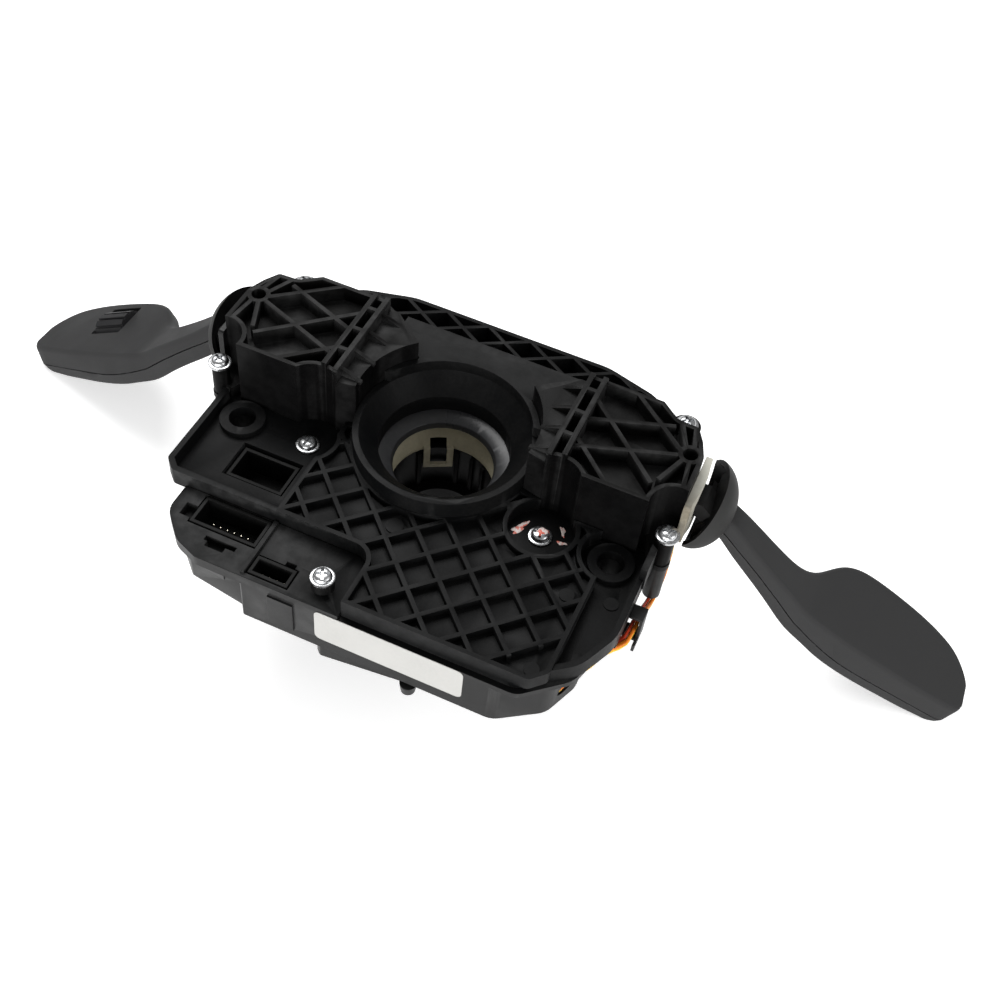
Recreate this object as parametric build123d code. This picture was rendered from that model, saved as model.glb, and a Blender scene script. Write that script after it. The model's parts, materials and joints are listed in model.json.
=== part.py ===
from build123d import *
from math import atan2, cos, degrees, hypot, radians, sin
import os

# Steering-column stalk switch: a ribbed rear carrier, a wiper lever and a turn-signal lever, each with
# its own switch housing, an electronics housing with its board and sockets, and a clock spring.
# Millimetres. Levels below are counted from the face that bolts to the column bracket. The finished
# pieces are then moved so that the origin is on the column axis where the collar's cone meets its bore.
# +Z points up the axis to the bracket, +Y to the top of the column, +X to the turn-signal lever.

# ---------------------------------------------------------------- levels along the column axis
MOUNT_FACE = 0.0            # rib tops of the two switch housings
POCKET_FLOOR = -5.5         # floor of the pockets between those ribs
ROOF_UNDERSIDE = -8.0       # inside of the switch housings' roof
INNER_SHELF = -3.6          # lower shelf of a switch housing beside the collar
LADDER_TOP = 1.6            # the double rib stands a little over the other ribs
TRAY_FLOOR = -27.0          # floor of the carrier that the switch housings stand on
FLOOR_THICKNESS = 2.2
LATTICE_FLOOR = -24.3
LATTICE_TOP = -21.5
COLLAR_TOP = -15.2
HUMP_TOP = -11.0            # flat shelf between the switch housings
BAND_TOP = -17.0            # ribbed band along the upper edge
BAND_FLOOR = -24.0
CONNECTOR_FACE = -27.5      # outer face of the electronics housing round its sockets
HOUSING_END = -48.0         # open front end of the electronics housing
COVER_THICKNESS = 3.0
STACK_GAP = 0.1             # seating gap between stacked mouldings

# ---------------------------------------------------------------- plan sizes
HALF_WIDTH = 79.5           # carrier side wall, outside
WALL = 2.0
TRAY_WALL_TOP = -22.2
SKIRT_END = -32.0
RIB = 1.5
LATTICE_PITCH = 10.5        # spacing of the 45 degree ribs
LATTICE_NODE = (-22.7, -36.5)
COLLAR_OUTER = 31.1
COLLAR_INNER = 29.0
CONE_END_RADIUS = 22.5
CONE_END = -22.0
BAND_EDGE = 56.2            # upper edge of the band
BAND_STEP = 16.5            # spacing of its crossed ribs
POST = (HALF_WIDTH + 1.8, -8.0)
POST_RADIUS = 3.0
TRAY_SCREW = (42.7, -17.5)
REAR_SCREW = (HALF_WIDTH - 7.2, 35.6)
ACCESS_HOLE = (HALF_WIDTH - 12.0, -18.0)
ACCESS_RADIUS = 4.6
BRACKET_HOLE = (HALF_WIDTH - 0.9, 15.0)
BRACKET_HOLE_RADIUS = 2.5
OUTBOARD = HALF_WIDTH + 3.5  # outer wall of a switch housing

# ---------------------------------------------------------------- fasteners
HEAD_RADIUS = 4.0
HEAD_HEIGHT = 3.0
SHANK_RADIUS = 1.9
SHANK_CLEARANCE = 0.1
SCREW_LENGTH = 12.0
POST_SCREW_LENGTH = 24.0

# ---------------------------------------------------------------- clock spring and rotor
BORE_RING_RADIUS = 17.3
BORE_RING_END = -32.5
DRIVE_BORE = 18.0
DRIVE_RADIUS = 23.5
DRIVE_TOP = -34.0
ROTOR_BORE = 17.9
ROTOR_TUBE = 20.0
ROTOR_TOP = -43.5
ROTOR_LIP_BORE = 14.0
CASE_RADIUS = 46.0
CASE_DEPTH = 16.0
ROTOR_CLEARANCE = 0.06
ROTOR_FACE_THICKNESS = 2.4
CODE_DISK_RADIUS = 32.0
CODE_DISK_LEVEL = -36.0
CABLE_THICKNESS = 0.5
CABLE_TURNS = 6
CABLE_CLEARANCE = 0.6       # to the rotor's tube and to the can's back

# ---------------------------------------------------------------- levers
PIVOT = (OUTBOARD - 11.0, 12.0, -15.5)
LEVER_WIDTH = 9.6
LEVER_HEIGHT = 6.0
PIN_RADIUS = 1.5
RUNNING = 0.05              # radial clearance of pins and trunnions
TRUNNION_RADIUS = 2.5
HOOD_CENTRE = (OUTBOARD + 3.0, 16.75, -21.8)
HOOD_HALF = (12.0, 16.6, 15.2)
HOOD_WALL = 1.6
HOOD_NEAREST = OUTBOARD + 2.6       # no part of the hood comes nearer to the housing than this
ARM_START = (OUTBOARD + 12.0, -19.6)  # X and Z on the stalk's rear face
ARM_KNEE = (OUTBOARD + 50.6, -53.7)
PADDLE_END = (OUTBOARD + 113.2, -87.2)
WHEEL_RADIUS = 7.8
WHEEL_WIDTH = 15.2
WHEEL_DEPTH = 5.5           # its axle lies this far under the rear face
BUTTON_TRAVEL = 1.2

os.makedirs("parts", exist_ok=True)
parts = {}


# ================================================================ helpers
def face(points, radius=0.0):
    """Closed outline in XY, with one radius or a list of radii, as a face."""
    return make_face(FilletPolyline(*points, radius=radius, close=True))


def slab(shape, top, bottom):
    """Flat shape in XY made solid between two levels."""
    return extrude(Plane.XY.offset(bottom) * shape, top - bottom)


def side_slab(points, y_low, y_high):
    """Outline given as (X, Z) made solid between two Y values."""
    outline = make_face(Polyline(*[(x, y_low, z) for x, z in points], close=True))
    return extrude(outline, y_high - y_low, dir=(0, 1, 0))


def tube(outer, inner, top, bottom, at=(0, 0)):
    ring = Circle(outer) - Circle(inner)
    return slab(Pos(*at) * ring, top, bottom)


def disc(radius, top, bottom, at=(0, 0)):
    return slab(Pos(*at) * Circle(radius), top, bottom)


def block(x0, x1, y0, y1, z0, z1):
    return Pos((x0 + x1) / 2, (y0 + y1) / 2, (z0 + z1) / 2) * Box(x1 - x0, y1 - y0, z1 - z0)


def rib(start, end, top, bottom, width=RIB):
    """Straight upright rib between two points of the plan."""
    length = hypot(end[0] - start[0], end[1] - start[1])
    angle = degrees(atan2(end[1] - start[1], end[0] - start[0]))
    middle = Pos((start[0] + end[0]) / 2, (start[1] + end[1]) / 2) * Rot(0, 0, angle)
    return slab(middle * Rectangle(length, width), top, bottom)


def mirrored(points):
    return [(-x, y) for x, y in reversed(points)]


def other_side(shape):
    return mirror(shape, about=Plane.YZ)


def group(shapes):
    return Compound(children=list(shapes))


# ================================================================ screws
def pan_screw(x, y, seat, length=SCREW_LENGTH, turn=25.0):
    """Flanged pan-head screw, its cross recess turned by an angle; seat is the level under its head."""
    profile = make_face(
        Polyline((0, seat - length), (SHANK_RADIUS, seat - length + 1.5), (SHANK_RADIUS, seat))
        + Polyline((SHANK_RADIUS, seat), (HEAD_RADIUS, seat), (HEAD_RADIUS, seat + 0.8))
        + Line((HEAD_RADIUS, seat + 0.8), (HEAD_RADIUS - 0.9, seat + 1.0))
        + ThreePointArc(
            (HEAD_RADIUS - 0.9, seat + 1.0),
            (HEAD_RADIUS * 0.55, seat + HEAD_HEIGHT - 0.35),
            (0, seat + HEAD_HEIGHT),
        )
        + Line((0, seat + HEAD_HEIGHT), (0, seat - length))
    )
    screw = revolve(Plane.XZ * profile, Axis.Z)
    slot = Box(HEAD_RADIUS * 1.1, 0.9, 2.4) + Box(0.9, HEAD_RADIUS * 1.1, 2.4)
    screw -= Pos(0, 0, seat + HEAD_HEIGHT) * slot
    return Pos(x, y, 0) * Rot(0, 0, turn) * screw


def pilot(at, top, depth):
    """Hole that a screw's thread cuts into."""
    return disc(SHANK_RADIUS + SHANK_CLEARANCE, top, top - depth, at)


POST_SEAT = -14.4
EAR_SEAT = -9.6
EAR_THICKNESS = 2.4
BLOCK_SCREW = (-10.9, -66.0)
BLOCK_SCREW_SEAT = CONNECTOR_FACE + 4.0
COVER_SCREWS = [(-50.0, -46.2), (HALF_WIDTH - 19.5, -60.0), (HALF_WIDTH - 19.5, 29.5),
                (19.5 - HALF_WIDTH, 29.5)]
COVER_SEAT = HOUSING_END - COVER_THICKNESS

# ================================================================ rear carrier
FOOTPRINT_GAP = 0.4
REBATE = 0.6                # step under the collar's bore that holds the bore ring's rim
REBATE_DEPTH = 0.9
SCOOP_RADIUS = 9.3          # driver clearance over the tray screw
POST_SCOOP = 8.4
module_outline = [
    (37.3, -6.6), (50.5, -9.6), (OUTBOARD, -9.6), (OUTBOARD, 15.5), (OUTBOARD - 2.4, 22.0),
    (OUTBOARD - 5.5, 27.4), (OUTBOARD - 12.7, 27.8), (OUTBOARD - 15.6, 30.0), (OUTBOARD - 19.5, 33.2),
    (34.0, 33.2), (21.6, 23.2), (14.0, 10.0), (27.0, -4.4),
]
module_radii = [0.0, 2.0, 0.0, 4.0, 3.0, 1.5, 3.0, 3.0, 1.0, 2.0, 1.5, 0.0, 0.0]


def housing_footprints(gap):
    """Plan of both switch housings, grown by a gap, outside the collar."""
    plan = face(module_outline, module_radii)
    plan = offset(plan, gap) - Circle(COLLAR_OUTER)
    return [plan, mirror(plan, about=Plane.YZ)]


FLOOR_UNDERSIDE = TRAY_FLOOR - FLOOR_THICKNESS
LEFT_EDGE = 1.0 - HALF_WIDTH
LATTICE_LEFT = -36.0
LATTICE_RIGHT = HALF_WIDTH - 13.7
LATTICE_BOTTOM = -72.4
TRAY_BOTTOM = -50.4
STEP_X = -1.2               # left side of the lattice field below the tray

band_curve = [(HALF_WIDTH - 23.5, 51.2), (HALF_WIDTH - 14.5, 46.0), (HALF_WIDTH - 6.0, 41.0),
              (HALF_WIDTH - 2.0, 31.0), (HALF_WIDTH, 16.0)]
carrier_outline = (
    [(STEP_X, LATTICE_BOTTOM), (HALF_WIDTH - 22.0, LATTICE_BOTTOM), (HALF_WIDTH - 6.5, -60.5)]
    + [(HALF_WIDTH, -46.0)]
    + band_curve[::-1]
    + [(38.0, BAND_EDGE), (-38.0, BAND_EDGE)]
    + mirrored(band_curve[::-1])
    + [(LEFT_EDGE, -20.0), (LEFT_EDGE, -46.5), (LEFT_EDGE + 4.0, TRAY_BOTTOM), (STEP_X, TRAY_BOTTOM)]
)
carrier_radii = (
    [0.0, 8.0, 14.0, 16.0]
    + [10.0, 8.0, 4.0, 12.0, 12.0]
    + [20.0, 20.0]
    + [12.0, 12.0, 4.0, 8.0, 10.0]
    + [10.0, 2.0, 2.0, 6.5]
)

LATTICE_RECESS = 11.2       # round clearing for the tray screw
ACCESS_CLEARING = 10.2      # round clearing for the access hole
lattice_outline = [
    (STEP_X, LATTICE_BOTTOM),
    (LATTICE_RIGHT - 4.8, LATTICE_BOTTOM),
    (LATTICE_RIGHT, -67.5),
    (LATTICE_RIGHT, -4.0),
    (LATTICE_LEFT + 2.0, -4.0),
    (LATTICE_LEFT + 2.0, -22.0),
    (LATTICE_LEFT, -25.0),
    (LATTICE_LEFT, TRAY_BOTTOM),
    (STEP_X, TRAY_BOTTOM),
]
lattice_radii = [0.0, 3.0, 3.0, 0.0, 0.0, 3.0, 2.0, 0.0, 6.5]
TRAY_SOCKET = (-62.0, -39.6, -41.0, -26.0)   # X low, X high, Y low, Y high


def lattice_region(inset=0.0):
    """Ribbed field beside the collar, less its round clearings."""
    field = face(lattice_outline, lattice_radii)
    if inset:
        field = offset(field, -inset)
    field -= Circle(COLLAR_OUTER - 0.6 + inset)
    field -= Pos(*TRAY_SCREW) * Circle(LATTICE_RECESS + inset)
    field -= Pos(-TRAY_SCREW[0], TRAY_SCREW[1]) * Circle(LATTICE_RECESS - 1.2 + inset)
    field -= Pos(*ACCESS_HOLE) * Circle(ACCESS_CLEARING + inset)
    for housing in housing_footprints(inset + FOOTPRINT_GAP):
        field -= housing
    return field


def lattice_ribs():
    """Two families of ribs at 45 degrees, as one flat sketch."""
    reach = 150.0
    strips = []
    node_x, node_y = LATTICE_NODE
    for angle in (45, -45):
        for step in range(-9, 12):
            shift = Pos(node_x, node_y) * Rot(0, 0, angle) * Pos(0, step * LATTICE_PITCH)
            strips.append(shift * Rectangle(reach, RIB))
    return Sketch() + strips


def collar():
    """Conical collar that guides the column tube."""
    profile = make_face(Polyline(
        (CONE_END_RADIUS, FLOOR_UNDERSIDE),
        (CONE_END_RADIUS, CONE_END),
        (COLLAR_INNER, COLLAR_TOP),
        (COLLAR_OUTER, COLLAR_TOP),
        (COLLAR_OUTER, FLOOR_UNDERSIDE),
        close=True,
    ))
    return revolve(Plane.XZ * profile, Axis.Z)


HUMP_HALF = 33.5
HUMP_BACK = 40.0
HUMP_WALL = 2.2


def hump():
    """Raised shelf between the two switch housings, cut round by the collar's cone."""
    corners = [(-HUMP_HALF, 14.0), (HUMP_HALF, 14.0), (HUMP_HALF, HUMP_BACK), (-HUMP_HALF, HUMP_BACK)]
    outer = face(corners)
    for housing in housing_footprints(FOOTPRINT_GAP):
        outer -= housing
    walls = outer - offset(outer, -HUMP_WALL)
    shelf = slab(outer, HUMP_TOP, HUMP_TOP - HUMP_WALL) + slab(walls, HUMP_TOP, TRAY_FLOOR)
    shelf = max(shelf.solids(), key=lambda solid: solid.volume)
    throat = revolve(Plane.XZ * make_face(Polyline(
        (0, FLOOR_UNDERSIDE), (CONE_END_RADIUS, FLOOR_UNDERSIDE), (CONE_END_RADIUS, CONE_END),
        (COLLAR_INNER, COLLAR_TOP), (COLLAR_INNER, MOUNT_FACE), (0, MOUNT_FACE), close=True)), Axis.Z)
    lining = tube(COLLAR_INNER + HUMP_WALL, COLLAR_INNER, HUMP_TOP, COLLAR_TOP)
    half_ring = lining & block(-HUMP_HALF, HUMP_HALF, 12.0, 40.0, COLLAR_TOP, HUMP_TOP)
    return (shelf + half_ring) - throat


BAND_LOW = 41.5             # lower edge of the band
BAND_LOW_HALF = HALF_WIDTH - 11.5
band_outline = (
    [(-38.0, BAND_EDGE)] + mirrored(band_curve[:2])[::-1]
    + [(-BAND_LOW_HALF, BAND_LOW), (BAND_LOW_HALF, BAND_LOW)]
    + band_curve[:2][::-1] + [(38.0, BAND_EDGE)]
)
band_radii = [20.0, 12.0, 8.0, 0.0, 0.0, 8.0, 12.0, 20.0]
TAB_HALF = 6.0


def band():
    """Crossed ribs under a raised rim along the upper edge."""
    outline = face(band_outline, band_radii)
    inside = offset(outline, -WALL * 0.8)
    rim = slab(outline - inside, BAND_TOP, TRAY_FLOOR)
    floor = slab(outline, BAND_FLOOR, TRAY_FLOOR)
    strips = []
    for step in range(-5, 6):
        for way in (-1, 1):
            start = (step * BAND_STEP - way * BAND_STEP / 2, BAND_EDGE - 1.0)
            end = (step * BAND_STEP + way * BAND_STEP / 2, BAND_EDGE - 11.0)
            strips.append(rib(start, end, BAND_TOP, BAND_FLOOR, RIB * 0.9))
    inside_slab = slab(inside, BAND_TOP, BAND_FLOOR)
    ribs = (Part() + strips) & inside_slab
    tab_outline = [(-TAB_HALF, BAND_EDGE - 1), (TAB_HALF, BAND_EDGE - 1), (TAB_HALF - 1, BAND_EDGE + 1.2),
                   (-TAB_HALF + 1, BAND_EDGE + 1.2)]
    tab = slab(face(tab_outline), BAND_TOP - 2.5, TRAY_FLOOR)
    return rim + floor + ribs + tab


def tray_wall():
    """Low wall round the left tray and the right channel, with the skirt under the floor."""
    outline = face(carrier_outline, carrier_radii)
    inside = offset(outline, -WALL)
    ring = outline - inside
    lower_half = Pos(0, -61.0) * Rectangle(240, 100)
    skirt_half = Pos(0, -28.0) * Rectangle(240, 31)
    wall = slab(ring & lower_half, TRAY_WALL_TOP, TRAY_FLOOR - 0.1)
    lattice_side = slab(Pos(31.0, -65.0) * Rectangle(69.0, 40.0), MOUNT_FACE, TRAY_FLOOR)
    step_side = slab(Pos(-18.0, -62.0) * Rectangle(36.0, 26.0), MOUNT_FACE, TRAY_FLOOR)
    skirt = slab(ring & skirt_half, TRAY_FLOOR, SKIRT_END)
    return (wall - lattice_side - step_side) + skirt


RING_BOSS_HEIGHT = 2.0
SCREW_BOSS_RADIUS = 4.2


def carrier_bosses():
    """Rings round the access holes and bosses under the rear screws."""
    made = []
    for side in (-1, 1):
        hole = (side * ACCESS_HOLE[0], ACCESS_HOLE[1])
        ring_top = TRAY_FLOOR + RING_BOSS_HEIGHT
        made.append(tube(ACCESS_RADIUS + 3.2, ACCESS_RADIUS, ring_top, FLOOR_UNDERSIDE, hole))
        made.append(disc(SCREW_BOSS_RADIUS, EAR_SEAT - EAR_THICKNESS - STACK_GAP, FLOOR_UNDERSIDE,
                         (side * REAR_SCREW[0], REAR_SCREW[1])))
    return made


def carrier_holes():
    made = [disc(CONE_END_RADIUS, TRAY_FLOOR, FLOOR_UNDERSIDE)]
    made.append(disc(CONE_END_RADIUS + REBATE, FLOOR_UNDERSIDE + REBATE_DEPTH, FLOOR_UNDERSIDE))
    for side in (-1, 1):
        made.append(disc(ACCESS_RADIUS, MOUNT_FACE, SKIRT_END, (side * ACCESS_HOLE[0], ACCESS_HOLE[1])))
        for spot in (TRAY_SCREW, POST):
            at = (side * spot[0], spot[1])
            made.append(disc(SHANK_RADIUS + 0.3, TRAY_FLOOR + 1, FLOOR_UNDERSIDE, at))
        made.append(pilot((side * REAR_SCREW[0], REAR_SCREW[1]), EAR_SEAT, SCREW_LENGTH))
    x0, x1, y0, y1 = TRAY_SOCKET
    made.append(block(x0, x1, y0, y1, FLOOR_UNDERSIDE, TRAY_FLOOR))
    return made


MARK_HEIGHT = 0.35
lattice_marks = [(-0.5, -37.0, 3.0), (59.5, -37.0, 2.5), (60.0, -67.0, 2.5)]       # X, Y and radius
channel_marks = [(HALF_WIDTH - 8.0, -56.0, 2.5), (HALF_WIDTH - 6.5, -32.0, 2.5)]


def rear_carrier():
    outline = face(carrier_outline, carrier_radii)
    body = slab(outline, TRAY_FLOOR, FLOOR_UNDERSIDE)
    region = lattice_region()
    body += slab(region, LATTICE_FLOOR, TRAY_FLOOR)
    border = region - lattice_region(RIB)
    body += slab(border, LATTICE_TOP, LATTICE_FLOOR)
    body += slab(lattice_ribs() & region, LATTICE_TOP, LATTICE_FLOOR)
    body += tray_wall()
    body += collar()
    body += hump()
    body += band()
    body += carrier_bosses()
    for x, y, radius in lattice_marks:
        body += disc(radius, LATTICE_FLOOR + MARK_HEIGHT, TRAY_FLOOR, (x, y))
    for x, y, radius in channel_marks:
        body += disc(radius, TRAY_FLOOR + MARK_HEIGHT, FLOOR_UNDERSIDE, (x, y))
    body -= carrier_holes()
    wedge = [(POST[0] - 3.4, -11.0), (POST[0] - 1.2, -12.5), (POST[0] - 1.2, -22.0), (POST[0] - 3.4, -22.0)]
    body += slab(face(wedge), TRAY_WALL_TOP + 5.0, TRAY_FLOOR)
    for side in (-1, 1):
        ear = (side * POST[0], POST[1])
        body += disc(POST_RADIUS + 0.3, TRAY_FLOOR, FLOOR_UNDERSIDE, ear)
        body -= disc(SHANK_RADIUS + 0.3, TRAY_FLOOR + 1, FLOOR_UNDERSIDE, ear)
    return body


# ================================================================ switch housings
HOUSING_BASE = TRAY_FLOOR + STACK_GAP
BASE_THICKNESS = 2.0
LADDER_X = (38.1, 42.7)
LADDER_RUNGS = (4.0, 14.5, 25.5)
ladder_span = (-6.0, 33.0)
diamond_ribs = [
    ((43.0, 14.2), (OUTBOARD - 12.5, 24.6)),
    ((42.0, 24.8), (OUTBOARD - 12.0, -2.0)),
    ((43.0, 1.2), (OUTBOARD - 8.0, 13.2)),
    ((42.0, 6.2), (58.0, -8.6)),
    ((54.0, 33.0), (OUTBOARD - 8.0, 15.5)),
]
boss_ribs = [
    ((OUTBOARD - 6.5, 17.0), (OUTBOARD - 11.5, 28.0)),
    ((OUTBOARD - 4.0, 18.0), (OUTBOARD - 6.4, 27.6)),
    ((OUTBOARD - 6.0, 12.0), (OUTBOARD - 10.4, 0.5)),
    ((OUTBOARD - 3.8, 12.0), (OUTBOARD - 2.2, 0.5)),
]
GUSSETS = (-2.5, 7.0, 17.0, 27.0)
GUSSET_REACH = 8.0
CAVITY_START = OUTBOARD - 34.5
cavity_outline = [
    (CAVITY_START, -5.2), (OUTBOARD - 12.5, -5.2), (OUTBOARD - 11.5, 3.0), (OUTBOARD - 2.0, 3.0),
    (OUTBOARD - 2.0, 16.0), (OUTBOARD - 7.0, 24.0), (OUTBOARD - 21.0, 30.6), (CAVITY_START, 30.6),
]
GATE_SLOT = (14.0, 10.4)    # opening for the lever, Y by Z
GATE_THICKNESS = 2.0
GATE_Y = (-2.0, 23.0)
GATE_Z = (-23.5, -6.0)
LEAD_NOTCH = (-1.4, 2.0, -24.4)     # Y low, Y high and top of the notch that the leads come out of


def gusset(y):
    """Thin triangular fin from the ladder down to the inner shelf."""
    x = LADDER_X[0]
    end = x - GUSSET_REACH
    points = [(x, INNER_SHELF - 1), (x, MOUNT_FACE), (end, INNER_SHELF), (end, INNER_SHELF - 1)]
    return side_slab(points, y - RIB / 2, y + RIB / 2)


def roof_ribs(inside):
    """Every upright rib on the roof, trimmed to the housing's outline."""
    made = [rib(a, b, MOUNT_FACE, POCKET_FLOOR) for a, b in diamond_ribs]
    made += [rib(a, b, MOUNT_FACE, POCKET_FLOOR) for a, b in boss_ribs]
    made.append(tube(BRACKET_HOLE_RADIUS + RIB, BRACKET_HOLE_RADIUS, MOUNT_FACE, POCKET_FLOOR, BRACKET_HOLE))
    for x in LADDER_X:
        made.append(rib((x, ladder_span[0]), (x, ladder_span[1]), LADDER_TOP, POCKET_FLOOR, 1.7))
    for y in LADDER_RUNGS:
        made.append(rib((LADDER_X[0], y), (LADDER_X[1], y), LADDER_TOP, POCKET_FLOOR, 1.4))
    return (Part() + made) & slab(inside, LADDER_TOP, POCKET_FLOOR)


def switch_housing():
    """Right-hand switch housing: ribbed roof, side walls, open underneath."""
    outline = face(module_outline, module_radii) - Circle(COLLAR_OUTER + 0.3)
    outline -= Pos(TRAY_SCREW[0], TRAY_SCREW[1] + 3.0) * Circle(SCOOP_RADIUS)
    outline -= Pos(*POST) * Circle(POST_SCOOP)
    body = slab(outline, POCKET_FLOOR, HOUSING_BASE)
    inner_zone = outline & (Pos(LADDER_X[0] - 51.0, 10.0) * Rectangle(100.0, 120.0))
    body += slab(inner_zone, INNER_SHELF, POCKET_FLOOR)
    outer_zone = outline - (Pos(LADDER_X[0] - 50.85, 10.0) * Rectangle(100.0, 120.0))
    border = outer_zone - offset(outer_zone, -RIB)
    body += slab(border, MOUNT_FACE, POCKET_FLOOR)
    body += roof_ribs(outline)
    body += [gusset(y) for y in GUSSETS]
    body -= slab(face(cavity_outline, 1.0), ROOF_UNDERSIDE, HOUSING_BASE)
    body -= disc(BRACKET_HOLE_RADIUS, LADDER_TOP, ROOF_UNDERSIDE, BRACKET_HOLE)
    width, height = GATE_SLOT
    body -= block(OUTBOARD - 4, OUTBOARD + 1, PIVOT[1] - width / 2, PIVOT[1] + width / 2,
                  PIVOT[2] - height / 2, PIVOT[2] + height / 2)
    body -= disc(TRUNNION_RADIUS + RUNNING, ROOF_UNDERSIDE, ROOF_UNDERSIDE + 1.7, PIVOT[:2])
    post = disc(POST_RADIUS, POST_SEAT, HOUSING_BASE, POST)
    foot_outline = [(OUTBOARD - 9.0, -3.5), (OUTBOARD - 6.5, -9.8), (OUTBOARD - 0.2, -9.0),
                    (OUTBOARD - 0.2, 2.0), (OUTBOARD - 7.0, 3.0)]
    foot = slab(face(foot_outline, 1.0), HOUSING_BASE + 4.0, HOUSING_BASE)
    ear = disc(5.0, EAR_SEAT, EAR_SEAT - EAR_THICKNESS, REAR_SCREW)
    ear_outline = [(REAR_SCREW[0] - 6.3, 28.0), (REAR_SCREW[0] + 4.7, 25.0), (REAR_SCREW[0] + 4.7, 36.0),
                   (REAR_SCREW[0] - 4.3, 36.0)]
    ear += slab(face(ear_outline, 1.0), EAR_SEAT, EAR_SEAT - EAR_THICKNESS)
    body += post + foot + ear
    body -= disc(SHANK_RADIUS + 0.2, POST_SEAT, HOUSING_BASE, POST)
    body -= disc(SHANK_RADIUS + 0.2, EAR_SEAT, EAR_SEAT - EAR_THICKNESS, REAR_SCREW)
    return body


def lead_notch():
    """Notch under the turn-signal housing's outer corner that the leads come out of."""
    return block(HALF_WIDTH, OUTBOARD + 0.2, LEAD_NOTCH[0], LEAD_NOTCH[1], HOUSING_BASE, LEAD_NOTCH[2])


def switch_base():
    """Plate that closes a switch housing and carries the lower swivel bearing."""
    plate = slab(offset(face(cavity_outline, 1.0), -0.15), HOUSING_BASE + BASE_THICKNESS, HOUSING_BASE)
    plate += disc(4.4, HOUSING_BASE + BASE_THICKNESS + 1.6, HOUSING_BASE, PIVOT[:2])
    return plate - disc(TRUNNION_RADIUS + RUNNING, MOUNT_FACE, HOUSING_BASE + 0.6, PIVOT[:2])


BOARD_THICKNESS = 1.6


def switch_board():
    level = HOUSING_BASE + BASE_THICKNESS
    start, end = CAVITY_START + 0.7, OUTBOARD - 19.0
    outline = face([(start, -4.4), (end, -4.4), (end, 29.4), (start, 29.4)], 1.0)
    return slab(outline, level + BOARD_THICKNESS, level)


def gate_plate():
    """Slotted plate on the outboard wall that the lever passes through."""
    middle = Pos((GATE_Y[0] + GATE_Y[1]) / 2, (GATE_Z[0] + GATE_Z[1]) / 2)
    outline = middle * RectangleRounded(GATE_Y[1] - GATE_Y[0], GATE_Z[1] - GATE_Z[0], 1.2)
    outline -= Pos(PIVOT[1], PIVOT[2]) * RectangleRounded(*GATE_SLOT, 1.5)
    return extrude(Plane.YZ.offset(OUTBOARD) * outline, GATE_THICKNESS)


# ================================================================ lever mechanism
FRAME_HALF = (6.0, 7.5, 7.2)
WINDOW_HALF = (5.1, 4.2)
TRACK_GAP = 0.3
PLUNGER_REACH = 20.0
TAIL_END = PIVOT[0] - 17.5
PLUNGER_RADIUS = 1.8


def swivel():
    """Gimbal frame: trunnions along Z, a cross pin along Y, and a window for the lever."""
    x, y, z = PIVOT
    frame = Pos(x, y, z) * Box(2 * FRAME_HALF[0], 2 * FRAME_HALF[1], 2 * FRAME_HALF[2])
    frame -= Pos(x, y, z) * Box(2 * FRAME_HALF[0], 2 * WINDOW_HALF[0], 2 * WINDOW_HALF[1])
    frame += disc(TRUNNION_RADIUS, ROOF_UNDERSIDE + 1.5, z + FRAME_HALF[2], (x, y))
    frame += disc(TRUNNION_RADIUS, z - FRAME_HALF[2], HOUSING_BASE + 0.8, (x, y))
    bore = Plane.XZ.offset(-(y - FRAME_HALF[1])) * (Pos(x, z) * Circle(PIN_RADIUS))
    return frame - extrude(bore, 2 * FRAME_HALF[1], dir=(0, 1, 0))


def cross_pin():
    x, y, z = PIVOT
    half = FRAME_HALF[1]
    start = Plane.XZ.offset(-(y - half)) * (Pos(x, z) * Circle(PIN_RADIUS))
    return extrude(start, 2 * half, dir=(0, 1, 0))


arm_run = (ARM_KNEE[0] - ARM_START[0], ARM_KNEE[1] - ARM_START[1])
arm_length = hypot(*arm_run)
ARM_DIR = (arm_run[0] / arm_length, arm_run[1] / arm_length)
ARM_NORMAL = (-ARM_DIR[1], ARM_DIR[0])
paddle_run = (PADDLE_END[0] - ARM_KNEE[0], PADDLE_END[1] - ARM_KNEE[1])
paddle_length = hypot(*paddle_run)
PADDLE_DIR = (paddle_run[0] / paddle_length, paddle_run[1] / paddle_length)
PADDLE_NORMAL = (-PADDLE_DIR[1], PADDLE_DIR[0])


def on_arm(along, depth):
    """Point (X, Z) at a distance along the arm and a depth under its rear face."""
    return (ARM_START[0] + along * ARM_DIR[0] - depth * ARM_NORMAL[0],
            ARM_START[1] + along * ARM_DIR[1] - depth * ARM_NORMAL[1])


def on_paddle(along, depth):
    return (ARM_KNEE[0] + along * PADDLE_DIR[0] - depth * PADDLE_NORMAL[0],
            ARM_KNEE[1] + along * PADDLE_DIR[1] - depth * PADDLE_NORMAL[1])


def knee(depth):
    """Corner between arm and paddle, at a depth under the rear face."""
    half_turn = (degrees(atan2(ARM_DIR[1], ARM_DIR[0])) - degrees(atan2(PADDLE_DIR[1], PADDLE_DIR[0]))) / 2
    bisector = (ARM_NORMAL[0] + PADDLE_NORMAL[0], ARM_NORMAL[1] + PADDLE_NORMAL[1])
    size = hypot(*bisector)
    reach = depth / cos(radians(half_turn))
    return (ARM_KNEE[0] - bisector[0] / size * reach, ARM_KNEE[1] - bisector[1] / size * reach)


TANG_DEPTH = (2.6, 7.4)
TANG_Y = (15.2, 21.0)
TANG_LENGTH = 26.0
LEVER_END = PIVOT[0] + 22.0


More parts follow.
